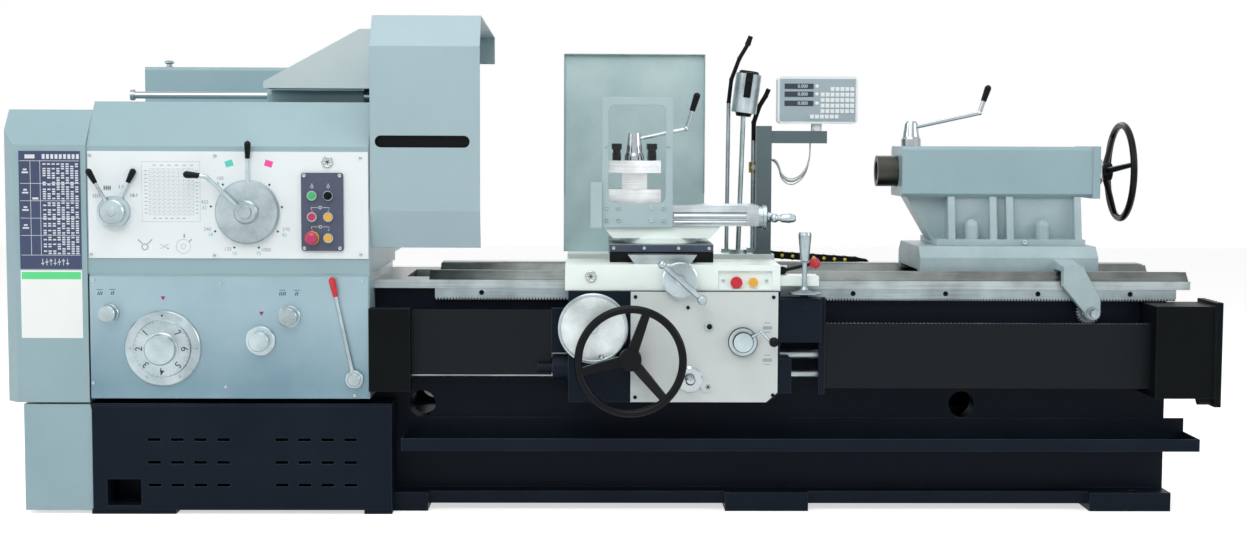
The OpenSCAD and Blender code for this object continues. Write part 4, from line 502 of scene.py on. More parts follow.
patch(speed_bm, -1.23, print_y, 1.071, 0.0235, 0.019, in_cyan, radians(-17))
patch(speed_bm, -1.111, print_y, 1.071, 0.0235, 0.019, in_pink, radians(17))
for tick_x, tick_z in ((-1.249, 1.007), (-1.286, 0.941), (-1.274, 0.866), (-1.217, 0.817),
                       (-1.143, 0.817), (-1.085, 0.866), (-1.072, 0.94), (-1.109, 1.007)):
    patch(speed_bm, tick_x, print_y, tick_z, 0.006, 0.006, in_black, radians(45))
for figure, figure_x, figure_z, colour in (
        ("100", -1.258, 1.026, in_grey), ("8", -1.264, 1.01, in_cyan),
        ("425", -1.304, 0.954, in_grey), ("32", -1.306, 0.937, in_cyan),
        ("240", -1.297, 0.872, in_grey), ("18", -1.288, 0.856, in_cyan),
        ("135", -1.236, 0.812, in_grey), ("10", -1.217, 0.799, in_cyan),
        ("1000", -1.122, 0.81, in_grey), ("75", -1.144, 0.799, in_cyan),
        ("570", -1.06, 0.872, in_grey), ("42", -1.066, 0.855, in_cyan),
        ("1:1", -1.555, 0.999, in_black), ("16:1", -1.517, 0.974, in_black)):
    numeral(speed_bm, figure, Matrix.Translation((figure_x, print_y, figure_z)), figure_high, colour)
for mark in range(4):
    patch(speed_bm, -1.606 + 0.006 * mark, print_y, 0.996, 0.0028, 0.014, in_black)
    patch(speed_bm, -1.639 + 0.006 * mark, print_y, 0.972, 0.0028, 0.011)
patch(speed_bm, -1.597, print_y, 0.996, 0.022, 0.002, in_black)
speed_print = add_piece("speed_panel_print", speed_bm, print_grey, print_black, print_cyan, print_pink,
                        print_pale)
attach(speed_print, "frame")
chrome = glossy("polished_chrome_plate", "#ABB3B7", 1, 16.67, 0.08, 0.24, detail=3.0)
panel_screw_bm = bmesh.new()
for screw_x, screw_z in ((-1.648, 1.094), (-1.272, 1.094), (-0.835, 1.088), (-1.648, 0.795),
                         (-1.277, 0.793), (-0.835, 0.797), (-1.648, 0.404), (-1.247, 0.393),
                         (-0.856, 0.367), (-1.26, 0.708), (-1.642, 0.716), (-0.83, 0.716)):
    socket_screw(panel_screw_bm, screw_x, panel_front, screw_z, 0.0052)
panel_screws = add_piece("panel_screws", panel_screw_bm, chrome)
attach(panel_screws, "frame")
sight_glass = glossy("oil_sight_glass", "#DDE3DF", 0, 11.11, 0.05, 0.14)


def oil_sight(bm, x, y, z, turn=0.0):
    """Adds a round oil window: a steel rim, its glass and the dark star behind it."""
    turned(bm, x, y, z, [(0.018, 0.0005), (0.018, -0.003), (0.0165, -0.0055), (0.0125, -0.0055),
                         (0.0118, -0.003)])
    turned(bm, x, y, z, [(0.0119, -0.0029), (0, -0.0035)], 1)
    for spoke in range(3):
        patch(bm, x, y - 0.00375, z, 0.017, 0.0022, 2, spoke * pi / 3 + turn)


head_sight_bm = bmesh.new()
oil_sight(head_sight_bm, -0.934, panel_front, 1.077, 0.3)
head_sight = add_piece("headstock_oil_sight", head_sight_bm, chrome, sight_glass, print_black)
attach(head_sight, "frame")

# Feed box: the lower gearbox with a brushed front plate, and the black housing of the left
# roller blind beside it. Small marks are printed above the knobs.
stroke_mm, brush_mm, cloud_mm = 142.86, 2.381, 200
plate_foot, plate_lit_top = 0.4, 0.64
brushed_plate, tree, shader = new_finish("brushed_front_plate", "#93AAB2", 0.55, 0.36)
where = put(tree, "ShaderNodeTexCoord")
brush = put(tree, "ShaderNodeMapping", {
    "Vector": where.outputs["Object"], "Scale": (1000 / stroke_mm, 1000 / stroke_mm, 1000 / brush_mm)})
lines = put(tree, "ShaderNodeTexNoise", {"Vector": brush.outputs[0], "Scale": 1.0, "Detail": 4.0})
cloud = put(tree, "ShaderNodeTexNoise", {
    "Vector": where.outputs["Object"], "Scale": 1000 / cloud_mm, "Detail": 3.0})
# Painted highlight: the plate is drawn lighter towards its top and darker towards its lower edge.
height = put(tree, "ShaderNodeSeparateXYZ", {0: where.outputs["Object"]})
bright = put(tree, "ShaderNodeMapRange", {
    "Value": height.outputs[2], "From Min": plate_foot, "From Max": plate_lit_top,
    "To Min": 0.05, "To Max": 0.75})
cloud_and_painted_light = put(tree, "ShaderNodeMix", {"Factor": 0.6, 2: cloud.outputs[0], 3: bright.outputs[0]})
tone = put(tree, "ShaderNodeMix", {
    "Factor": cloud_and_painted_light.outputs[0], 6: linear("#56798A"), 7: linear("#B4CCD4")}, data_type="RGBA")
tree.links.new(tone.outputs[2], shader.inputs["Base Color"])
gloss = put(tree, "ShaderNodeMapRange", {"Value": lines.outputs[0], "To Min": 0.26, "To Max": 0.5})
tree.links.new(gloss.outputs[0], shader.inputs["Roughness"])
scratch = put(tree, "ShaderNodeBump", {"Height": lines.outputs[0], "Strength": 0.1, "Distance": 0.0004})
tree.links.new(scratch.outputs[0], shader.inputs["Normal"])
dress("feed_box", pale_enamel, (bracket_enamel, lambda c, n: c.x > head_right))
dress("feed_box_panel", brushed_plate)
print_magenta = ink("screen_print_magenta", "#8E1F78", "#84196F")
feed_ink_bm = bmesh.new()
for tip_x, tip_z in ((-1.434, 0.664), (-1.137, 0.618)):
    arrow = bmesh.ops.create_circle(feed_ink_bm, cap_ends=True, segments=3, radius=0.0085)["verts"]
    points_up = min(v.co.y for v in arrow) + max(v.co.y for v in arrow) > 0
    bmesh.ops.transform(feed_ink_bm, verts=arrow, matrix=Matrix.Translation((tip_x, print_y, tip_z))
                        @ Matrix.Rotation(pi if points_up else 0, 4, "Y") @ Matrix.Rotation(pi / 2, 4, "X"))
for mark_x, mark_z, strokes in ((-1.621, 0.677, 3), (-1.583, 0.678, 2), (-1.07, 0.677, 4),
                                (-1.027, 0.677, 2)):
    for stroke in range(strokes):
        stroke_x = mark_x + 0.0055 * (stroke - strokes / 2)
        patch(feed_ink_bm, stroke_x, print_y, mark_z, 0.0028, 0.011, 1, 0.25)
    patch(feed_ink_bm, mark_x - 0.003, print_y, mark_z + 0.011, 0.018, 0.0018, 1)
feed_print = add_piece("feed_panel_print", feed_ink_bm, print_magenta, print_black)
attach(feed_print, "frame")

# Chuck guard: a folded sheet in blue-grey enamel with a black finger cup, on a pale arm
# that turns on a polished rod along the headstock.
black_plastic = glossy("moulded_black_phenolic", "#080B10", 0, 2.222, 0.22, 0.42, specular=0.13,
                       skin=0.08)
guard_enamel = enamel("guard_sheet_enamel", "#A0B8BF", "#97B0B7", grain_depth=0.1, edge_scuff_and_highlight="#C9D7DA")
arm_enamel = enamel("pale_arm_enamel", "#C2CFD1", "#B6C5C8")
cup_z, cup_half, cup_front, cup_back = 1.139, 0.0232, -0.3985, -0.37
rod_y, rod_z, rod_reach, sheet_left = 0.06, 1.286, 0.0263, -0.8065
dress("chuck_guard", guard_enamel,
      (black_plastic, lambda c, n: cup_front < c.y < cup_back and abs(c.z - cup_z) < cup_half),
      (chrome, lambda c, n: c.x < sheet_left and (c.y - rod_y) ** 2 + (c.z - rod_z) ** 2 < rod_reach ** 2),
      (arm_enamel, lambda c, n: c.x < sheet_left + 0.0005 and c.z > 1.3))


# Panel levers: turned steel hubs with bright rods and black tapered grips. The feed dial
# has engraved figures that are filled with black.
def away_from(hub, reach):
    """Picks the faces farther than reach from an axis that crosses the panel at a hub's x and z."""
    return lambda c, n: (c.x - hub[0]) ** 2 + (c.z - hub[1]) ** 2 > reach ** 2


dial_steel = ground_steel("fine_turned_steel", "#BAC9CE", roughness=0.26, line_mm=1.6, along="Y")
red_plastic = glossy("moulded_red_plastic", "#C41F2C", 0, 2.0, 0.2, 0.36)
range_hub, speed_hub, start_hub = (-1.575, 0.925), (-1.175, 0.925), (-0.856, 0.417)
dress("range_lever_rear", dial_steel, (black_plastic, away_from(range_hub, 0.097)))
dress("range_lever_front", dial_steel, (black_plastic, away_from(range_hub, 0.097)))
dress("speed_dial", dial_steel, (black_plastic, away_from(speed_hub, 0.1605)))
dress("speed_lever", dial_steel, (black_plastic, away_from(speed_hub, 0.172)))
dress("start_lever", dial_steel, (red_plastic, away_from(start_hub, 0.257)))
for knob in ("feed_knob_left", "feed_knob_mid", "feed_knob_right", "feed_dial"):
    dress(knob, dial_steel)
dial_x, dial_z, rim_r = -1.436, 0.51, 0.1005
cone_y, cone_tilt, figure_r, mark_y, mark_r = -0.41965, -0.057, 0.068, -0.41885, 0.0815
dial_centre = Matrix.Translation((dial_x, 0, dial_z))
figure_bm = bmesh.new()
for count in range(1, 8):
    around = dial_centre @ Matrix.Rotation(radians(-45 * count), 4, "Y")
    on_cone = around @ Matrix.Translation((0, cone_y, figure_r)) @ Matrix.Rotation(cone_tilt, 4, "X")
    numeral(figure_bm, str(count), on_cone, 0.021)
for count in range(40):
    turn = radians(9 * count)
    spot = dial_centre @ Matrix.Rotation(turn, 4, "Y") @ Vector((0, mark_y, mark_r))
    patch(figure_bm, spot.x, spot.y, spot.z, 0.0009, 0.0055 if count % 5 else 0.009, 0, turn)
patch(figure_bm, dial_x, -0.40955, dial_z + rim_r, 0.006, 0.006, 0, radians(45))
feed_figures = add_piece("feed_dial_figures", figure_bm, print_black)
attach(feed_figures, "feed_dial")
ring_screw_bm = bmesh.new()
for count in range(6):
    around = dial_centre @ Matrix.Rotation(radians(30 + 60 * count), 4, "Y")
    spot = around @ Vector((0, -0.4094, rim_r))
    socket_screw(ring_screw_bm, spot.x, spot.y, spot.z, 0.0048)
ring_screws = add_piece("feed_dial_screws", ring_screw_bm, dial_steel)
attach(ring_screws, "feed_dial")


# Push buttons: a grey moulded box with steel bezels, coloured caps, a yellow collar under
# the stop button and small white marks.
def coloured_cap(name, colour):
    """Glossy moulded cap with a little uneven gloss."""
    return glossy(name, colour, 0, 3.333, 0.18, 0.32)


def near_axis(x, z, reach, low_y, high_y):
    """Picks the faces round an axis that crosses the panel, between two depths."""
    return lambda c, n: (c.x - x) ** 2 + (c.z - z) ** 2 < reach ** 2 and low_y < c.y < high_y


grey_plastic = enamel("moulded_grey_box", "#474E63", "#40475B", roughness=0.45, grain_mm=1.2,
                      grain_depth=0.1)
green_cap = coloured_cap("green_cap", "#2FB96C")
crimson_cap = coloured_cap("crimson_cap", "#B8305C")
amber_cap = coloured_cap("amber_cap", "#E8AC3C")
yellow_collar = coloured_cap("yellow_collar", "#E6D23A")
left_x, right_x, top_z, mid_z, low_z = -0.98, -0.931, 0.975, 0.911, 0.847
box_front, bezel_y, cap_y, cap_end, cap_r = -0.408, -0.4085, -0.4155, -0.43, 0.0118
dress("button_panel", grey_plastic,
      (green_cap, near_axis(left_x, top_z, cap_r, cap_end, cap_y)),
      (crimson_cap, near_axis(left_x, mid_z, cap_r, cap_end, cap_y)),
      (amber_cap, near_axis(right_x, mid_z, cap_r, cap_end, cap_y)),
      (amber_cap, near_axis(right_x, low_z, cap_r, cap_end, cap_y)),
      (yellow_collar, near_axis(left_x, low_z, 0.03, cap_end, bezel_y)),
      (chrome, lambda c, n: c.y < bezel_y))
dress("mode_switch", black_plastic)
dress("emergency_stop", crimson_cap)
button_bm = bmesh.new()
for screw_x in (-1.0035, -0.8965):
    for screw_z in (0.8165, 1.0355):
        socket_screw(button_bm, screw_x, box_front, screw_z, 0.0058)
button_screws = add_piece("button_panel_screws", button_bm, chrome)
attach(button_screws, "frame")
button_ink_bm = bmesh.new()
box_print_y, between_x = box_front - 0.00018, (left_x + right_x) / 2
for mark_x, dot in ((left_x, 1), (right_x, 2)):
    ring(button_ink_bm, mark_x, box_print_y, 1.002, 0.0045, 0.0014)
    patch(button_ink_bm, mark_x, box_print_y, 1.0085, 0.002, 0.006)
    for mark_z in (0.929, 0.871):
        patch(button_ink_bm, mark_x, box_print_y, mark_z, 0.004, 0.004, dot, radians(45))
for mark_z in (0.939, 0.881):
    for side in (-1, 1):
        patch(button_ink_bm, between_x + side * 0.017, box_print_y, mark_z, 0.02, 0.0012)
        patch(button_ink_bm, between_x + side * 0.0268, box_print_y, mark_z - 0.003, 0.0012, 0.006)
    ring(button_ink_bm, between_x, box_print_y, mark_z, 0.005, 0.0018)
button_print = add_piece("button_panel_print", button_ink_bm, print_white, print_pink, print_cyan)
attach(button_print, "frame")

# Rods: the lead screw has a cut trapezoid thread, and the feed rod and control rod are
# drawn bright bars. They run from the feed box to the right bracket.
screw_low, screw_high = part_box("lead_screw")
screw_x, screw_y, screw_z = (screw_low + screw_high) / 2
screw_l, end_gap = screw_high.x - screw_low.x, 0.001
crest, root, lead, flank, land, steps = 0.0199, 0.0172, 0.012, 0.0024, 0.0032, 16
start_x, turns = screw_low.x + end_gap, int((screw_l - 2 * end_gap) / lead) - 1
thread_bm = bmesh.new()
rib = [thread_bm.verts.new((start_x + dx, screw_y, screw_z + r)) for dx, r in (
    (0, root), (flank, crest), (flank + land, crest), (2 * flank + land, root), (lead, root))]
ribs = [thread_bm.edges.new(pair) for pair in zip(rib, rib[1:])]
bmesh.ops.spin(thread_bm, geom=rib + ribs, cent=(start_x, screw_y, screw_z), axis=(1, 0, 0),
               dvec=(lead / steps, 0, 0), angle=2 * pi * turns, steps=steps * turns)
bmesh.ops.remove_doubles(thread_bm, verts=thread_bm.verts, dist=0.0002)
core = bmesh.ops.create_cone(thread_bm, cap_ends=True, segments=32, radius1=root, radius2=root,
                             depth=screw_l)["verts"]
bmesh.ops.rotate(thread_bm, verts=core, matrix=Matrix.Rotation(pi / 2, 3, "Y"))
bmesh.ops.translate(thread_bm, verts=core, vec=(screw_x, screw_y, screw_z))
bmesh.ops.recalc_face_normals(thread_bm, faces=thread_bm.faces)
screw_steel = ground_steel("cut_thread_steel", "#8F9294", roughness=0.34, line_mm=2.0, along="X")
thread = add_piece("lead_screw_thread", thread_bm, screw_steel)
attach(thread, "lead_screw")
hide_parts("lead_screw")
rack_low, rack_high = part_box("gear_rack")
rack_screw_count = 8
rack_bm = bmesh.new()
for count in range(rack_screw_count):
    head_x = rack_low.x + (rack_high.x - rack_low.x) * (count + 0.5) / rack_screw_count
    turned(rack_bm, head_x, rack_low.y + 0.0119, rack_high.z - 0.014,
           [(0.0076, 0), (0.0076, -0.0085), (0.0068, -0.0095), (0.004, -0.0095), (0.004, -0.004),
            (0, -0.004)], 0, 20)
rack_screws = add_piece("rack_screws", rack_bm, black_plastic)
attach(rack_screws, "frame")
dress("feed_rod", way_steel)
dress("control_rod", way_steel)

# Roller blinds: black spring-steel curtains that wind out of their housings and cover the
# rods on both sides of the apron. One end is held by a housing and the other by the apron.
wave_mm, ripple_mm = 666.7, 50
curtain_steel, tree, shader = new_finish("black_spring_steel", "#14191C", 0, 0.34)
shader.inputs["Specular IOR Level"].default_value = 0.12
where = put(tree, "ShaderNodeTexCoord")
drawn = put(tree, "ShaderNodeMapping", {
    "Vector": where.outputs["Object"], "Scale": (1000 / wave_mm, 1000 / ripple_mm, 1000 / ripple_mm)})
wave = put(tree, "ShaderNodeTexNoise", {"Vector": drawn.outputs[0], "Scale": 1.0, "Detail": 3.0})
gloss = put(tree, "ShaderNodeMapRange", {"Value": wave.outputs[0], "To Min": 0.26, "To Max": 0.48})
tree.links.new(gloss.outputs[0], shader.inputs["Roughness"])
ripple = put(tree, "ShaderNodeBump", {"Height": wave.outputs[0], "Strength": 0.15, "Distance": 0.003})
tree.links.new(ripple.outputs[0], shader.inputs["Normal"])
curtain_front, curtain_back, curtain_h, strips = -0.373, -0.371, 0.2, 30
for curtain_name, from_x, to_x, foot_z, first, last in (
        ("left_curtain", -0.726, -0.258, 0.428, "frame", "carriage"),
        ("right_curtain", 0.58, 1.625, 0.388, "carriage", "frame")):
    curtain_bm = bmesh.new()
    block(curtain_bm, (from_x, curtain_front, foot_z), (to_x, curtain_back, foot_z + curtain_h), sheet_edge)
    for count in range(1, strips):
        everything = curtain_bm.verts[:] + curtain_bm.edges[:] + curtain_bm.faces[:]
        bmesh.ops.bisect_plane(curtain_bm, geom=everything, plane_no=(1, 0, 0),
                               plane_co=(from_x + (to_x - from_x) * count / strips, 0, 0))
    curtain = add_piece(curtain_name, curtain_bm, curtain_steel)
    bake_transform(curtain)
    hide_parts("rod_curtains")
dress("rod_curtains", curtain_steel)

# Carriage: an off-white saddle over the dark apron casting, with an off-white front plate.
# The dovetail for the cross slide is ground, and oil sights are set in both fronts.
saddle_enamel = enamel("off_white_enamel", "#F0FCF7", "#E8F5F0", grain_depth=0.14, blotch=0.6,
                       edge_scuff_and_highlight="#F4FAF8")
plate_enamel = enamel("off_white_plate_enamel", "#D3DBDA", "#C6CFCF", roughness=0.4, blotch=0.8)
saddle_front, button_front, button_back, recess_y = -0.42, -0.4201, -0.409, -0.41
slide_x, slide_half, slide_z = 0.08, 0.106, 0.7705
dress("saddle", saddle_enamel,
      (red_plastic, near_axis(0.304, 0.716, 0.0182, button_front, button_back)),
      (amber_cap, near_axis(0.355, 0.717, 0.0142, button_front, button_back)),
      (way_steel, lambda c, n: c.z > slide_z and abs(c.x - slide_x) < slide_half))
dress("apron_housing", bed_enamel)
apron_front = -0.442
dress("apron_plate", plate_enamel,
      (chrome, near_axis(0.163, 0.425, 0.0395, -0.6, apron_front - 0.0005)),
      (turned_steel, near_axis(0.22, 0.584, 0.0145, -0.6, apron_front - 0.0001)))
dress("travel_dial",
      ground_steel("face_turned_dial", "#DFE9EA", roughness=0.34, line_mm=2.0, along="Y"))
dress("rack_pinion", rack_steel)
dress("apron_handwheel", black_plastic)
nut_hub, nut_collar_y = (0.322, 0.539), -0.4745
inside_collar = near_axis(*nut_hub, 0.046, nut_collar_y, 0)
dress("half_nut_lever", dial_steel, (black_plastic, away_from(nut_hub, 0.0775)),
      (black_plastic, lambda c, n: abs(n.y) < 0.95 and inside_collar(c, n)))
dress("feed_joystick", turned_steel, (bed_enamel, lambda c, n: c.z < 0.682))
dress("carriage_lever", black_plastic, (red_plastic, lambda c, n: c.x > 0.5315))
dress("cross_crank", dial_steel)
dress("compound_crank", dial_steel)
carriage_bm = bmesh.new()
oil_sight(carriage_bm, -0.138, saddle_front, 0.734)
for spoke in range(3):
    patch(carriage_bm, 0.218, apron_front - 0.00525, 0.401, 0.017, 0.0026, 2, spoke * pi / 3)
turned(carriage_bm, 0.221, apron_front - 0.0038, 0.5845, [(0.0085, 0), (0.0085, -0.0006), (0, -0.0008)],
       3, 24)
for screw_x, screw_z in ((0.264, 0.722), (0.395, 0.721)):
    socket_screw(carriage_bm, screw_x, recess_y, screw_z, 0.005)
for screw_x, screw_z in ((0.415, 0.674), (0.415, 0.376), (0.156, 0.642), (-0.003, 0.674), (-0.003, 0.369)):
    socket_screw(carriage_bm, screw_x, apron_front, screw_z, 0.0055, 3)
carriage_fittings = add_piece("carriage_sights_and_screws", carriage_bm, chrome, sight_glass, print_black,
                              black_plastic)
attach(carriage_fittings, "carriage")
dial_bm = bmesh.new()
travel_x, travel_y, travel_z = -0.131, -0.4484, 0.578
turned(dial_bm, travel_x, travel_y, travel_z,
       [(0.106, 0.0005), (0.106, -0.0022), (0.104, -0.003), (0.0985, -0.003), (0.0965, -0.002),
        (0.0965, 0.0005)], 0, 72)
turned(dial_bm, travel_x, travel_y, travel_z,
       [(0.017, 0.0005), (0.017, -0.002), (0.0155, -0.003), (0, -0.003)], 0, 28)
turned(dial_bm, travel_x + 0.025, travel_y, travel_z - 0.084,
       [(0.009, 0.0005), (0.009, -0.002), (0.008, -0.003), (0.004, -0.003), (0.0035, -0.001),
        (0, -0.001)], 0, 20)
dial_rim = add_piece("travel_dial_rim", dial_bm, dial_steel)
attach(dial_rim, "travel_dial")
wheel_x, wheel_z, hub_y, rim_y, hub_r, wheel_r = -0.019, 0.489, -0.4884, -0.5384, 0.03, 0.152
web_wide, web_thick, web_taper = 0.033, 0.0245, 0.75
spoke_bm = bmesh.new()
for angle in (72, 192, 312):
    out = Vector((cos(radians(angle)), 0, sin(radians(angle))))
    start = Vector((wheel_x, hub_y, wheel_z)) + out * hub_r
    end = Vector((wheel_x, rim_y, wheel_z)) + out * wheel_r
    along = (end - start).normalized()
    wide = Vector((-out.z, 0, out.x))
    known = set(spoke_bm.verts)
    web = bmesh.ops.create_cube(spoke_bm, size=1)["verts"]
    for vert in web:
        taper = 1.0 if vert.co.x < 0 else web_taper
        vert.co = (vert.co.x * (end - start).length, vert.co.y * web_wide * taper,
                   vert.co.z * web_thick * taper)
    soften(spoke_bm, {e for v in web for e in v.link_edges}, 0.003)
    place = Matrix((along, wide, along.cross(wide))).transposed().to_4x4()
    bmesh.ops.transform(spoke_bm, verts=[v for v in spoke_bm.verts if v not in known],
                        matrix=Matrix.Translation((start + end) / 2) @ place)
wheel_spokes = add_piece("handwheel_spokes", spoke_bm, black_plastic)
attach(wheel_spokes, "apron_handwheel")
nut_ink_bm = bmesh.new()
for mark_z in (0.592, 0.494):
    for rise, wide, high in ((-0.011, 0.028, 0.01), (0.004, 0.02, 0.003), (-0.024, 0.02, 0.003)):
        patch(nut_ink_bm, 0.397, apron_front - 0.00018, mark_z + rise, wide, high)
nut_print = add_piece("half_nut_print", nut_ink_bm, print_grey)
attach(nut_print, "carriage")

# Cross slide, compound and tool post: scraped iron and ground steel, with bright tool-post
# plates, dark square-head screws and a dark wiper bar screwed to the slide's front.
slide_steel = ground_steel("scraped_slide_iron", "#9FAAAD", roughness=0.4, line_mm=4.0, along="Y")
compound_steel = ground_steel("ground_compound_steel", "#C9D3D8", roughness=0.28, line_mm=3.0, along="X")
post_steel = ground_steel("bright_tool_steel", "#F0F3F4", roughness=0.36, line_mm=2.5, along="X")
wiper_enamel = enamel("navy_wiper_enamel", "#2E3A4C", "#374456", roughness=0.4, grain_mm=3.0,
                      grain_depth=0.1, blotch=0.6)
dress("cross_slide", slide_steel, (black_plastic, lambda c, n: c.y < -0.3095 and c.z < 0.82))
dress("compound_base", saddle_enamel, (way_steel, lambda c, n: c.z > 0.8812))
dress("compound_slide", compound_steel)
dress("tool_post", post_steel, (black_plastic, lambda c, n: c.z > 1.0831))
dress("tool_post_lever", chrome, (black_plastic, lambda c, n: c.z > 1.2365 and c.x > 0.14))
post_centre, shank, head = Vector((-0.002, -0.15, 1.1055)), 0.0055, 0.0095
bolt_bm = bmesh.new()
for bolt_x, bolt_y in ((-0.05, -0.062), (0.05, -0.062), (-0.05, 0.062), (0.05, 0.062),
                       (-0.062, -0.022), (-0.062, 0.022), (0.062, -0.022), (0.062, 0.022)):
    spot = post_centre + Vector((bolt_x, bolt_y, 0))
    block(bolt_bm, spot + Vector((-shank, -shank, 0)), spot + Vector((shank, shank, 0.012)), 0.0008)
    block(bolt_bm, spot + Vector((-head, -head, 0.011)), spot + Vector((head, head, 0.03)), 0.0025)
post_bolts = add_piece("tool_post_bolts", bolt_bm, black_plastic)
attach(post_bolts, "tool_post")
bar_l, bar_x, bar_y = 0.226, 0.231, -0.2725
gib_bm = bmesh.new()
for bar_z, bar_r in ((0.9115, 0.0075), (0.8925, 0.006)):
    known = set(gib_bm.verts)
    rod = bmesh.ops.create_cone(gib_bm, cap_ends=True, segments=24, radius1=bar_r, radius2=bar_r,
                                depth=bar_l)["verts"]
    rims = {e for v in rod for e in v.link_edges if abs(e.verts[0].co.z - e.verts[1].co.z) < 0.001}
    soften(gib_bm, rims, 0.0015)
    bmesh.ops.transform(gib_bm, verts=[v for v in gib_bm.verts if v not in known],
                        matrix=Matrix.Translation((bar_x, bar_y, bar_z)) @ Matrix.Rotation(pi / 2, 4, "Y"))
block(gib_bm, (0.113, -0.2712, 0.9205), (0.346, -0.2695, 0.9235), 0.0005, 1)
slide_bars = add_piece("compound_slide_bars", gib_bm, chrome, wiper_enamel)
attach(slide_bars, "compound_slide")
wiper_front = -0.3225
wiper_bm = bmesh.new()
block(wiper_bm, (-0.079, wiper_front, 0.803), (0.239, -0.3102, 0.8245), 0.0015)
for screw_x in (-0.068, 0.026, 0.132, 0.226):
    socket_screw(wiper_bm, screw_x, wiper_front, 0.8145, 0.0055, 1)
wiper_bar = add_piece("slide_wiper_bar", wiper_bm, wiper_enamel, chrome)
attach(wiper_bar, "cross_slide")

# Tool shield: a blue-grey sheet frame bolted to the compound's front, with a clear acrylic
# pane behind its window.
shield_enamel = enamel("shield_sheet_enamel", "#A9BFC3", "#9FB6BA", grain_depth=0.1, blotch=0.4,
                       edge_scuff_and_highlight="#C9D8DA")
dress("tool_shield", shield_enamel)
acrylic, tree, shader = new_finish("clear_acrylic", "#F2F6F7", 0, 0.05)
shader.inputs["Transmission Weight"].default_value = 1.0
shader.inputs["IOR"].default_value = 1.49
shader.inputs["Alpha"].default_value = 0.25
pane_bm = bmesh.new()
block(pane_bm, (-0.098, -0.2699, 0.9475), (0.107, -0.2674, 1.2695), 0.0008)
shield_pane = add_piece("tool_shield_pane", pane_bm, acrylic)
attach(shield_pane, "compound_slide")
shield_front = -0.275
shield_bolt_bm = bmesh.new()
for bolt_x in (-0.09, -0.053, 0.049, 0.087):
    for bolt_z in (0.898, 0.936):
        socket_screw(shield_bolt_bm, bolt_x, shield_front, bolt_z, 0.0065)
for bolt_x in (-0.092, 0.1):
    socket_screw(shield_bolt_bm, bolt_x, shield_front, 1.1245, 0.004)
shield_bolts = add_piece("tool_shield_bolts", shield_bolt_bm, dial_steel)
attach(shield_bolts, "compound_slide")

# Splash guard: a thin painted sheet that stands behind the tool post and rides on the
# carriage. Coolant has dulled its enamel and left it blotched.
splash_enamel = enamel("worn_splash_enamel", "#BDD4D5", "#A6BFC1", roughness=0.5, grain_mm=6.0,
                       grain_depth=0.3, blotch=1.0, specular=0.3, edge_scuff_and_highlight="#5F7174")
dress("splash_guard", splash_enamel)

# Readout: a slate post with an off-white moulded console. Its face has a grey membrane with
# three display windows and rows of white keys, and it turns on the arm's pin.
shell_plastic = enamel("moulded_pale_shell", "#E6EEF0", "#DDE6E9", roughness=0.42, grain_mm=0.9, blotch=0.4)
slate_enamel = enamel("slate_post_enamel", "#56686C", "#4C5D61", roughness=0.42, grain_depth=0.14)
dress("readout_stand", slate_enamel)
dress("readout_console", shell_plastic)
membrane = enamel("grey_keypad_membrane", "#9FB0B8", "#93A5AE", roughness=0.4, grain_mm=1.2,
                  grain_depth=0.05, blotch=0.6)
key_white = coloured_cap("white_key", "#E9EFF1")
display_dark = coloured_cap("dark_display_window", "#2B3542")
digit_pale = coloured_cap("pale_display_digit", "#C9E3EA")
window_tops, window_h = (1.335, 1.309, 1.279), 0.018
key, pitch_x, pitch_z, key_front, key_back, key_edge = 0.013, 0.0163, 0.0182, 0.1206, 0.124, 0.0012
key_corners = [(0.6195 + pitch_x * column, 1.3105 - pitch_z * row) for column in range(7) for row in range(5)
               if row > 0 or column > 1]
key_corners += [(0.585 + pitch_x * column, 1.2195) for column in range(6)]
face_bm = bmesh.new()
block(face_bm, (0.485, 0.1232, 1.211), (0.736, 0.1255, 1.351), 0.001)
for window_top in window_tops:
    block(face_bm, (0.5, 0.1222, window_top - window_h), (0.596, key_back, window_top), 0.0006, 1)
for key_x, key_z in key_corners:
    block(face_bm, (key_x, key_front, key_z), (key_x + key, key_back, key_z + key), key_edge, 2)
for window_top in window_tops:
    turned(face_bm, 0.607, 0.1238, window_top - window_h / 2,
           [(0.006, 0.0005), (0.006, -0.002), (0.005, -0.003), (0, -0.003)], 2, 20)
console_face = add_piece("readout_keypad", face_bm, membrane, display_dark, key_white)
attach(console_face, "readout_console")
digit_bm = bmesh.new()
for window_top in window_tops:
    digit_place = Matrix.Translation((0.56, 0.12195, window_top - window_h / 2))
    numeral(digit_bm, "0.000", digit_place, figure_high)
readout_digits = add_piece("readout_digits", digit_bm, digit_pale)
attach(readout_digits, "readout_console")

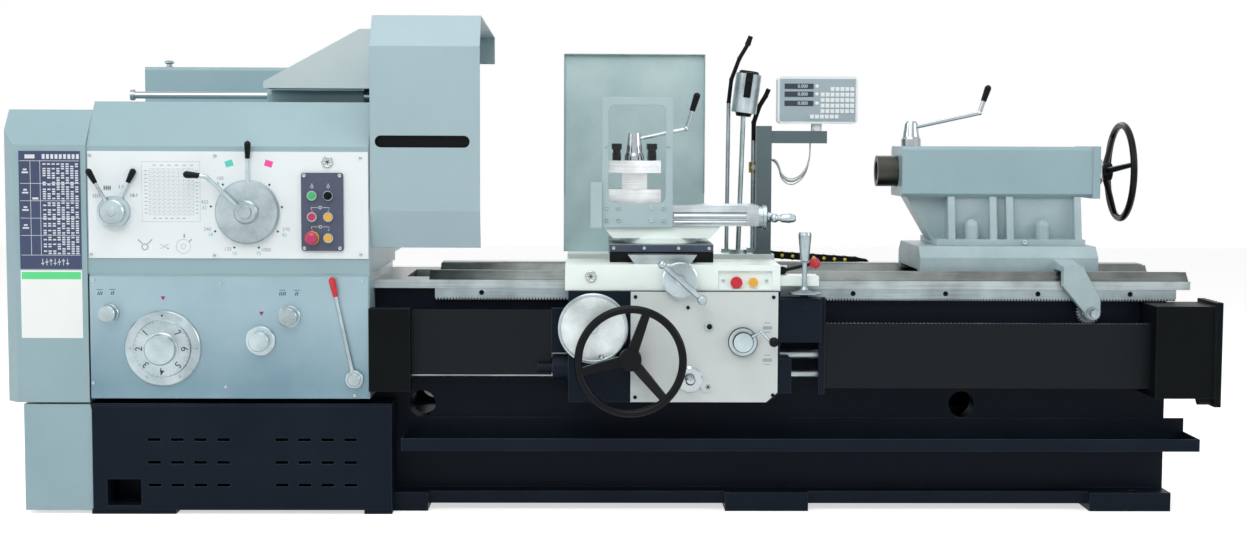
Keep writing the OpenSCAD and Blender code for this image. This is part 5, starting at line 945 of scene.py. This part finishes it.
# Readout cables: thin grey leads that hang in one bundle from under the console and go into
# the post. Each is held at both ends and sags between them.
lead_jacket = glossy("grey_vinyl_jacket", "#B9BFC2", 0, 2.5, 0.36, 0.54)
lead_d, bundle_y, exit_z, post_side = 0.0042, 0.155, 1.138, 0.465
route = [(0.59, 1.138), (0.59, 1.11), (0.586, 1.08), (0.574, 1.046), (0.552, 1.022), (0.524, 1.014),
         (0.498, 1.03), (0.486, 1.062), (0.474, 1.08), (0.46, 1.084)]
for strand, (aside, sag) in enumerate(((-0.0034, 1.0), (0.0034, 1.03), (0.0, 0.95), (0.001, 1.1))):
    bundle = bpy.data.curves.new(f"readout_lead_{strand + 1}", "CURVE")
    bundle.dimensions, bundle.use_fill_caps = "3D", True
    bundle.bevel_depth, bundle.bevel_resolution = lead_d / 2, 3
    spline = bundle.splines.new("BEZIER")
    spline.bezier_points.add(len(route) - 1)
    for knot, (route_x, route_z) in zip(spline.bezier_points, route):
        drop = (exit_z - route_z) * (sag if route_x > post_side else 1)
        knot.co = (route_x, bundle_y + aside, exit_z - drop)
        knot.handle_left_type = knot.handle_right_type = "AUTO"
    bundle.materials.append(lead_jacket)
    readout_lead = bpy.data.objects.new(f"readout_lead_{strand + 1}", bundle)
    bpy.context.scene.collection.objects.link(readout_lead)
    bpy.context.view_layer.update()
    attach(readout_lead, "carriage")
    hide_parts("readout_cable")
dress("readout_cable", lead_jacket)

# Lamp, pipe and cable chain: a nickel lamp with a black switch strap on a bright stem, a
# coolant pipe with a brass valve, and a black link chain with yellow rivets.
brass = ground_steel("turned_brass", "#B8A25A", roughness=0.32, line_mm=1.6, along="Z")
dress("work_lamp", dial_steel, (black_plastic, lambda c, n: 1.226 < c.z < 1.2485 or c.z > 1.362))
pipe_x, pipe_y, valve_r, valve_low, valve_top, hose_z = 0.407, 0.216, 0.0165, 1.0385, 1.0755, 1.16
dress("coolant_pipe", dial_steel,
      (brass, lambda c, n: (valve_low < c.z < valve_top
                            and (c.x - pipe_x) ** 2 + (c.y - pipe_y) ** 2 < valve_r ** 2)),
      (black_plastic, lambda c, n: c.z > hose_z))
dress("cable_chain", black_plastic)
lamp_tilt, strap_centre = radians(7.65), (0.3787, 0.1068, 1.329)
strap_bm = bmesh.new()
block(strap_bm, (-0.012, -0.0032, -0.042), (0.012, 0.004, 0.042), 0.0028)
turned(strap_bm, 0, -0.0025, 0.012, [(0.0075, 0), (0.0075, -0.003), (0.006, -0.0045), (0, -0.0045)], 0, 20)
bmesh.ops.transform(strap_bm, verts=strap_bm.verts[:],
                    matrix=Matrix.Translation(strap_centre) @ Matrix.Rotation(lamp_tilt, 4, "Y"))
lamp_strap = add_piece("lamp_switch_strap", strap_bm, black_plastic)
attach(lamp_strap, "carriage")
chain_x, chain_y, chain_z, link_l, chain_fall = 0.482, 0.318, 0.756, 0.036, 0.019 / 8
rivet_bm = bmesh.new()
for count in range(1, 8):
    turned(rivet_bm, chain_x + link_l * count, chain_y, chain_z - chain_fall * count,
           [(0.006, 0.0005), (0.006, -0.0012), (0.0045, -0.0024), (0, -0.0028)], 0, 18)
chain_rivets = add_piece("chain_rivets", rivet_bm, yellow_collar)
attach(chain_rivets, "carriage")

# Tailstock: a cast body in blue-grey enamel over speckled cast sides, a quill whose dark steel
# colour is a painted dark reflection, and a black handwheel.
cast_enamel = enamel("speckled_cast_enamel", "#ABBFC3", "#94AAB0", roughness=0.4, grain_mm=9.0,
                     grain_depth=0.8, blotch=1.0, edge_scuff_and_highlight="#C8D4D7")
barrel_foot, wheel_boss_end, grip_z, grip_x = 0.9685, 1.5205, 1.273, 1.1
dress("tailstock_base", cast_enamel)
dress("tailstock_body", pale_enamel, (cast_enamel, lambda c, n: c.z < barrel_foot))
# The quill's dark colour is a painted dark reflection.
dress("quill", ground_steel("quill_steel_painted_dark_reflection", "#4A4A46", roughness=0.36, line_mm=2.0, along="X"))
dress("tailstock_handwheel", black_plastic, (chrome, lambda c, n: c.x < wheel_boss_end))
dress("quill_lock_lever", chrome, (black_plastic, lambda c, n: c.z > grip_z and c.x > grip_x))
dress("traverse_shaft", turned_steel)
plug_bm = bmesh.new()
socket_screw(plug_bm, 1.243, -0.146, 0.826, 0.0075)
tail_plug = add_piece("tailstock_plug", plug_bm, dial_steel)
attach(tail_plug, "tailstock")

# Size: the box round everything that renders, without the floor and the backdrop.
low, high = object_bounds()
